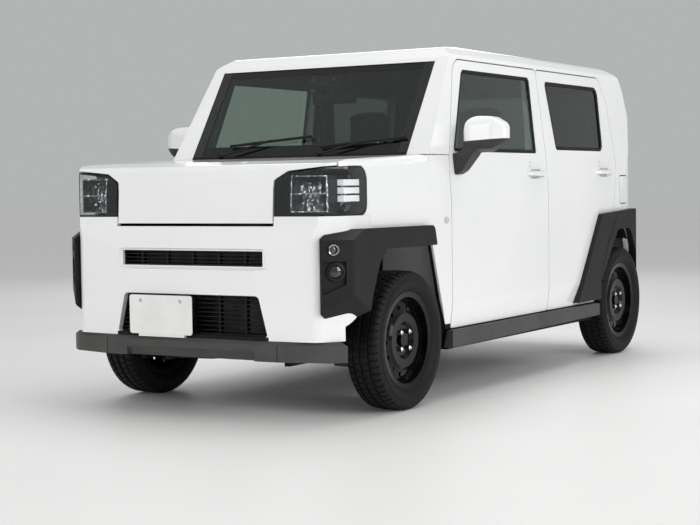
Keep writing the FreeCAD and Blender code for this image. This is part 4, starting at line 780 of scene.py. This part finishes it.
# Wheel nuts: zinc-plated hexagon nuts with a rounded top on four studs, and a rubber
# valve with its cap in the disc.
nut_zinc = metal("zinc_plate", (0.52, 0.52, 0.53), (0.66, 0.66, 0.67), 1.0, 0.22, 260.0, 0.08)
select_alone()
bpy.ops.mesh.primitive_cylinder_add(vertices=6, radius=0.0118, depth=0.018, end_fill_type="NGON",
                                    rotation=(0.0, math.radians(90.0), 0.0))
nut = bpy.context.object
bpy.ops.object.transform_apply(location=True, rotation=True, scale=True)
start_edit(nut)
pick_faces(nut, lambda middle, normal: normal.x > 0.9)
for inwards, upwards in ((0.0025, 0.0015), (0.0020, 0.0030), (0.0020, 0.0012)):
    bpy.ops.mesh.inset(thickness=inwards, depth=upwards)
bpy.ops.mesh.select_all(action="SELECT")
bpy.ops.mesh.bevel(offset=0.0006, segments=2, affect="EDGES")

valve = spun_ring("valve", [
    (0.000, 0.0001), (0.000, 0.0052), (0.006, 0.0050), (0.016, 0.0036), (0.017, 0.0042),
    (0.024, 0.0042), (0.026, 0.0034), (0.026, 0.0001),
], 20)

stud_circle = 0.050
nut_x = 0.0455
valve_place = Vector((0.030, 0.0, -0.163))
for end in ("front", "rear"):
    for side, out in sides:
        wheel_name = "%s_%s" % (end, side)
        wheel_body = "wheel_" + wheel_name
        hub = middle_of("tyre_" + wheel_name)
        hub.z = tyre_radius
        dress(wheel_enamel, wheel_body)
        rubber_ring = copy_to(tyre, "tread_" + wheel_name, hub)
        give(rubber_ring, tyre_rubber, wheel_body)
        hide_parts("tyre_" + wheel_name)
        for index in range(4):
            angle = math.pi / 4 + math.pi / 2 * index
            place = Vector((nut_x, stud_circle * math.cos(angle), stud_circle * math.sin(angle)))
            one_nut = copy_to(nut, "nut_%s_%d" % (wheel_name, index), place, out)
            one_nut.data.transform(Matrix.Translation(hub))
            give(one_nut, nut_zinc, wheel_body)
        one_valve = copy_to(valve, "valve_" + wheel_name, valve_place, out)
        one_valve.data.transform(Matrix.Translation(hub))
        give(one_valve, seal_rubber, wheel_body)
for pattern in (tyre, nut, valve):
    remove_pattern(pattern)


# Windscreen edges: the bonded laminated pane laps over the pillars, and a band of black
# enamel fired onto the glass hides the bead there. The band widens towards the cowl.
def shift(piece, wanted, offset):
    """Moves the corners that the test wants."""
    pick_corners(piece, wanted)
    bpy.ops.transform.translate(value=offset)


screen_low, screen_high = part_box("windscreen")
screen_edge_head = 0.026
screen_edge_foot = 0.050
enamel_glass, tree, shader = new_finish("enamel_glass")
tones(tree, shader, 2.0, (0.004, 0.004, 0.004), (0.007, 0.007, 0.007))
tune(shader, Roughness=0.08, Coat_Weight=0.6)
for side, out in sides:
    edge = merged_copy("screen_edge_" + side, "windscreen")
    keep_outline(edge, lambda middle, normal: normal.z < 0.2 or normal.y > -0.2)
    bpy.ops.mesh.select_mode(type="EDGE")
    shell = bmesh.from_edit_mesh(edge.data)
    for line in shell.edges:
        line.select_set(all(corner.co.x * out > screen_high[0] - 0.001 for corner in line.verts))
    bmesh.update_edit_mesh(edge.data)
    bpy.ops.mesh.extrude_region_move(TRANSFORM_OT_translate={"value": (screen_edge_foot * out, 0.0, 0.0)})
    shift(edge, lambda place: place.x * out > screen_high[0] + 0.01 and place.z > screen_low[2] + 0.1,
          ((screen_edge_head - screen_edge_foot) * out, 0.0, 0.0))
    pick_faces(edge, lambda middle, normal: abs(middle.x) < screen_high[0] - 0.05)
    bpy.ops.mesh.delete(type="FACE")
    bpy.ops.object.mode_set(mode="OBJECT")
    pane = edge.modifiers.new("pane", "SOLIDIFY")
    pane.thickness = 0.0016
    pane.offset = 1.0
    soft_edge = edge.modifiers.new("soft_edge", "BEVEL")
    soft_edge.width = 0.0006
    soft_edge.segments = 2
    apply_modifiers(edge)
    give(edge, enamel_glass, "body")


# Camera unit and cabin mirror: a black housing glued behind the windscreen with two
# lenses set in its slanted face, and a mirror that hangs from it on a short arm.
def block(name, low, high):
    """A box between two corners, open for shaping with nothing selected."""
    select_alone()
    middle = [(first + second) / 2 for first, second in zip(low, high)]
    size = [second - first for first, second in zip(low, high)]
    bpy.ops.mesh.primitive_cube_add(size=1.0, location=middle, scale=size)
    piece = bpy.context.object
    piece.name = name
    bpy.ops.object.transform_apply(location=True, rotation=True, scale=True)
    start_edit(piece)
    return piece


def soften(piece, width):
    """Rounds every hard edge and shades the piece smooth."""
    rounding = piece.modifiers.new("rounding", "BEVEL")
    rounding.width = width
    rounding.segments = 3
    rounding.limit_method = "ANGLE"
    rounding.angle_limit = math.radians(25.0)
    apply_modifiers(piece)
    smooth(piece, 40.0)


pane_depth = 0.004


def screen_inner_y(height):
    """Where the windscreen's inner face is at a height."""
    share = (height - screen_low[2]) / (screen_high[2] - screen_low[2])
    return screen_low[1] + (screen_high[1] - screen_low[1]) * share + pane_depth


unit_half = 0.105
unit_low_z = 1.425
unit_top_z = 1.492
unit_middle_y = -0.55
unit_back_y = -0.500
unit_front_y = screen_inner_y(unit_low_z) + 0.002
unit = block("camera_unit", (-unit_half, unit_front_y, unit_low_z), (unit_half, unit_back_y, unit_top_z))
shift(unit, lambda place: place.z > unit_top_z - 0.001 and place.y < unit_middle_y,
      (0.0, screen_inner_y(unit_top_z) - screen_inner_y(unit_low_z), 0.0))
shift(unit, lambda place: place.z < unit_low_z + 0.001 and place.y > unit_middle_y, (0.0, 0.0, 0.030))
pick_faces(unit, lambda middle, normal: normal.y < -0.5)
bpy.ops.mesh.inset(thickness=0.010, depth=-0.006)
soften(unit, 0.004)
give(unit, black_moulding, "body")

lens_height = (unit_low_z + unit_top_z) / 2
lens_y = screen_inner_y(lens_height) + 0.0105
for index, lens_x in enumerate((-0.055, 0.055)):
    eye = spun_ring("camera_eye_%d" % index, [
        (0.0000, 0.0001), (0.0000, 0.0130), (0.0060, 0.0130), (0.0070, 0.0115), (0.0045, 0.0085),
        (0.0060, 0.0045), (0.0065, 0.0001),
    ], 32)
    eye.data.transform(Matrix.Rotation(math.radians(-90.0), 4, "Z"))
    eye.data.transform(Matrix.Translation((lens_x, lens_y, lens_height)))
    give(eye, enamel_glass, "body")

cabin_mirror_y = -0.480
mirror_block = block("cabin_mirror", (-0.115, -0.512, 1.352), (0.115, cabin_mirror_y, 1.412))
pick_faces(mirror_block, lambda middle, normal: normal.y > 0.9)
bpy.ops.mesh.inset(thickness=0.006, depth=0.0)
bpy.ops.mesh.inset(thickness=0.002, depth=-0.002)
pick_faces(mirror_block, lambda middle, normal: normal.y < -0.9)
bpy.ops.mesh.inset(thickness=0.014, depth=0.010)
soften(mirror_block, 0.006)
cabin_glass = moulded("cabin_mirror", (0.012, 0.012, 0.012), (0.018, 0.018, 0.018), 0.4, 600.0, 0.15)
tree = cabin_glass.node_tree
behind_rim = below(tree, position(tree)[1], cabin_mirror_y - 0.001)
silver(tree, all_of(tree, looking(tree, (0.0, 1.0, 0.0), 0.97), behind_rim), 0.04)
give(mirror_block, cabin_glass, "body")

arm = block("cabin_mirror_arm", (-0.011, -0.530, 1.395), (0.011, -0.500, 1.450))
pick_faces(arm, lambda middle, normal: normal.z < -0.9)
bpy.ops.mesh.inset(thickness=0.003, depth=0.004)
soften(arm, 0.004)
give(arm, black_moulding, "body")


# Cabin mouldings: the grained black dashboard, with a gloss screen set in its middle,
# and the padded rim and boss of the steering wheel, all in black plastic.
cabin_finish = ((0.014, 0.014, 0.015), (0.024, 0.024, 0.025), 0.6, 800.0, 0.3)
cabin_black = moulded("cabin_black", *cabin_finish)
dress(cabin_black, "steering_wheel")
dashboard_finish = moulded("dashboard", *cabin_finish)
display_half = 0.106
display_foot_z = 0.956
display_y = -0.426
tree = dashboard_finish.node_tree
x, y, z = folded(tree)
on_display = all_of(tree, below(tree, x, display_half), above(tree, z, display_foot_z),
                    above(tree, y, display_y), looking(tree, (0.0, 1.0, 0.0), 0.9))
tune(overlay(tree, on_display), Base_Color=(0.006, 0.007, 0.009, 1.0), Roughness=0.06)
dress(dashboard_finish, "dashboard")


# Seats: moulded foam under dark woven covers, with sewn lines between the middle and
# the side bolsters, on plastic-clad frames, and headrests on steel posts.
last_frame = 20


def puffed(piece, voxel, cap):
    """Inflates a closed form like foam under a cover, with no point moving past the cap."""
    bpy.ops.object.mode_set(mode="OBJECT")
    piece.data.remesh_voxel_size = voxel
    bpy.ops.object.voxel_remesh()
    start = [corner.co.copy() for corner in piece.data.vertices]
    cloth = piece.modifiers.new("Cloth", "CLOTH")
    cloth.settings.use_pressure = True
    cloth.settings.uniform_pressure_force = 4.0
    cloth.settings.effector_weights.gravity = 0.0
    cloth.point_cache.frame_start = 1
    cloth.point_cache.frame_end = last_frame
    for frame_number in range(1, last_frame + 1):
        bpy.context.scene.frame_set(frame_number)
    apply_modifiers(piece)
    bpy.context.scene.frame_set(1)
    for corner, before in zip(piece.data.vertices, start):
        moved = corner.co - before
        if moved.length > cap:
            corner.co = before + moved.normalized() * cap
    rounds = piece.modifiers.new("rounds", "SUBSURF")
    rounds.levels = 1
    rounds.render_levels = 1
    apply_modifiers(piece)
    bpy.ops.object.shade_smooth()


def sewn(piece, line_distance, reach, depth):
    """Draws the cover in along a sewn line; line_distance gives a point's distance from it."""
    moves = []
    for corner in piece.data.vertices:
        away = abs(line_distance(corner.co))
        if away < reach:
            moves.append((corner.index, corner.normal * depth * (1.0 - away / reach) ** 2))
    for index, inwards in moves:
        piece.data.vertices[index].co -= inwards


seat_cloth, tree, shader = new_finish("woven_cloth")
tones(tree, shader, 500.0, (0.018, 0.018, 0.020), (0.045, 0.045, 0.048))
tune(shader, Roughness=0.9, Sheen_Weight=0.3)
ripple(tree, shader, 1200.0, 0.5, 0.0008)
dress(seat_cloth, "front_seats", "rear_seat")
post_steel = metal("post_steel", (0.55, 0.55, 0.56), (0.68, 0.68, 0.69), 1.0, 0.2, 300.0, 0.05)

swell = 0.012
bolster_share = 0.62
seat_base_z = 0.395
cushion_top_z = 0.640
headrest_half = 0.125


def divided(pad, cuts):
    """Cuts a block into a grid, for shaping by its corners."""
    bpy.ops.mesh.select_all(action="SELECT")
    bpy.ops.mesh.subdivide(number_cuts=cuts)
    return pad


def cushion_form(name, half, front_y, back_y):
    pad = divided(block(name, (swell - half, front_y + swell, seat_base_z + 0.006),
                        (half - swell, back_y - 0.004, cushion_top_z - swell)), 7)
    on_top = cushion_top_z - 0.02
    shift(pad, lambda place: place.z > on_top and abs(place.x) < half * bolster_share
          and place.y > front_y + 0.10, (0.0, 0.0, -0.022))
    shift(pad, lambda place: place.z > on_top and place.y > back_y - 0.15, (0.0, 0.0, -0.012))
    shift(pad, lambda place: place.z < seat_base_z + 0.08 and place.y < front_y + 0.04, (0.0, 0.030, 0.0))
    return pad


def rest_form(name, half, back_y, top_z, lean):
    pad = divided(block(name, (swell - half, back_y - 0.090 + swell, seat_base_z + 0.25),
                        (half - swell, back_y + 0.020 - swell, top_z - swell)), 7)
    shift(pad, lambda place: place.y < back_y - 0.06 and abs(place.x) < half * bolster_share
          and place.z < top_z - 0.10, (0.0, 0.020, 0.0))
    shift(pad, lambda place: place.z > top_z - 0.05 and abs(place.x) > half * 0.8, (0.0, 0.0, -0.030))
    bpy.ops.object.mode_set(mode="OBJECT")
    foot_z = seat_base_z + 0.010
    for corner in pad.data.vertices:
        corner.co.y += lean * (corner.co.z - foot_z) / (top_z - foot_z)
    start_edit(pad)
    return pad


def head_form(name, back_y, low_z, top_z, lean):
    pad = divided(block(name, (swell - headrest_half, back_y - 0.070 + lean + swell, low_z + 0.008),
                        (headrest_half - swell, back_y + 0.010 + lean - 0.006, top_z - swell)), 5)
    shift(pad, lambda place: place.z > top_z - 0.04 and abs(place.x) > 0.09, (0.0, 0.0, -0.020))
    return pad


def seat_piece(pad, node):
    give(pad, seat_cloth, "body")
    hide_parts(node)


seat_low, seat_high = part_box("front_seats")
front_seat_x = (seat_high[0] + 0.090) / 2
front_back_y = seat_high[1] - 0.170
bolster_seam_x = 0.145
thigh_seam_y = seat_low[1] + 0.110
shoulder_seam_z = 0.98
cushion = cushion_form("front_cushion", 0.240, seat_low[1], front_back_y)
puffed(cushion, 0.010, 0.024)
sewn(cushion, lambda place: abs(place.x) - bolster_seam_x, 0.007, 0.006)
sewn(cushion, lambda place: place.y - thigh_seam_y if abs(place.x) < bolster_seam_x else 1.0, 0.007, 0.005)
rest = rest_form("front_rest", 0.230, front_back_y, 1.170, 0.150)
puffed(rest, 0.010, 0.022)
sewn(rest, lambda place: abs(place.x) - bolster_seam_x, 0.007, 0.006)
sewn(rest, lambda place: place.z - shoulder_seam_z if abs(place.x) < bolster_seam_x else 1.0, 0.007, 0.005)
head = head_form("front_headrest", front_back_y, 1.188, 1.360, 0.150)
puffed(head, 0.006, 0.014)
sewn(head, lambda place: abs(place.x) - 0.095, 0.006, 0.004)

post = spun_ring("headrest_post", [
    (0.0000, 0.0001), (0.0000, 0.0052), (0.0008, 0.0060), (0.0200, 0.0060), (0.0210, 0.0052),
    (0.0230, 0.0052), (0.0240, 0.0060), (0.0690, 0.0060), (0.0700, 0.0050), (0.0700, 0.0001),
], 24)
post.data.transform(Matrix.Rotation(math.radians(-90.0), 4, "Y"))
post_y = front_back_y + 0.120
post_foot_z = 1.140
frame_half = 0.200
seat_frame = block("seat_frame", (-frame_half, front_back_y - 0.470, 0.2755),
                   (frame_half, front_back_y - 0.050, seat_base_z))
pick_faces(seat_frame, lambda middle, normal: abs(normal.x) > 0.9)
bpy.ops.mesh.inset(thickness=0.022, depth=-0.006)
soften(seat_frame, 0.008)

for side, out in sides:
    seat_place = Vector((front_seat_x * out, 0.0, 0.0))
    for pattern, fill in ((cushion, 0.8), (rest, 0.75), (head, 0.85)):
        seat_piece(copy_to(pattern, "%s_%s" % (pattern.name, side), seat_place), "front_seats")
    for index, offset in enumerate((-0.050, 0.050)):
        post_place = Vector((front_seat_x * out + offset, post_y, post_foot_z))
        one_post = copy_to(post, "headrest_post_%s_%d" % (side, index), post_place)
        give(one_post, post_steel, "body")
    give(copy_to(seat_frame, "seat_frame_" + side, seat_place), cabin_black, "body")
for pattern in (cushion, rest, head, post, seat_frame):
    remove_pattern(pattern)


def bench_seams(pad):
    """Sews a bench piece down its middle and along its bolsters."""
    sewn(pad, lambda place: abs(place.x) - 0.012, 0.009, 0.010)
    sewn(pad, lambda place: abs(place.x) - 0.380, 0.009, 0.006)


bench_low, bench_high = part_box("rear_seat")
bench_back_y = bench_high[1] - 0.160
bench = cushion_form("rear_cushion", 0.470, bench_low[1], bench_back_y)
puffed(bench, 0.012, 0.024)
bench_seams(bench)
seat_piece(bench, "rear_seat")
bench_rest = rest_form("rear_rest", 0.460, bench_back_y, 1.080, 0.140)
puffed(bench_rest, 0.012, 0.022)
bench_seams(bench_rest)
seat_piece(bench_rest, "rear_seat")
bench_head = head_form("rear_headrest", bench_back_y, 1.098, 1.270, 0.140)
puffed(bench_head, 0.006, 0.014)
seat_piece(bench_head, "rear_seat")


# Small fittings outside: plate bolts with domed zinc heads, and small clear side lamps
# that clip onto the front fenders behind the arches.
bolt = spun_ring("plate_bolt", [
    (0.0000, 0.0001), (0.0000, 0.0085), (0.0006, 0.0085), (0.0011, 0.0066), (0.0016, 0.0030),
    (0.0017, 0.0001),
], 24)
bolt.data.transform(Matrix.Rotation(math.radians(-90.0), 4, "Z"))
plate_middle_x = middle_of("front_plate")[0]
plate_face_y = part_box("front_plate")[0][1] + 0.0001
plate_bolt_z = 0.487
for index, offset in enumerate((-0.105, 0.105)):
    bolt_place = Vector((plate_middle_x + offset, plate_face_y, plate_bolt_z))
    give(copy_to(bolt, "plate_bolt_%d" % index, bolt_place), nut_zinc, "body")
remove_pattern(bolt)

side_lamp = spun_ring("side_lamp", [
    (0.0000, 0.0001), (0.0000, 0.0150), (0.0030, 0.0150), (0.0036, 0.0138), (0.0060, 0.0125),
    (0.0078, 0.0090), (0.0086, 0.0045), (0.0088, 0.0001),
], 40)
side_lamp.data.transform(Matrix.Diagonal((1.0, 1.3, 1.0, 1.0)))
clear_cover, tree, shader = new_finish("side_lamp_cover")
tones(tree, shader, 90.0, (0.50, 0.51, 0.52), (0.66, 0.67, 0.68))
tune(shader, Roughness=0.12, Coat_Weight=1.0)
ripple(tree, shader, 700.0, 0.3, 0.001)
side_lamp_place = Vector((0.7121, -0.7185, 0.801))
for side, out in sides:
    one_lamp = copy_to(side_lamp, "side_lamp_" + side, side_lamp_place, out)
    give(one_lamp, clear_cover, "body")
remove_pattern(side_lamp)
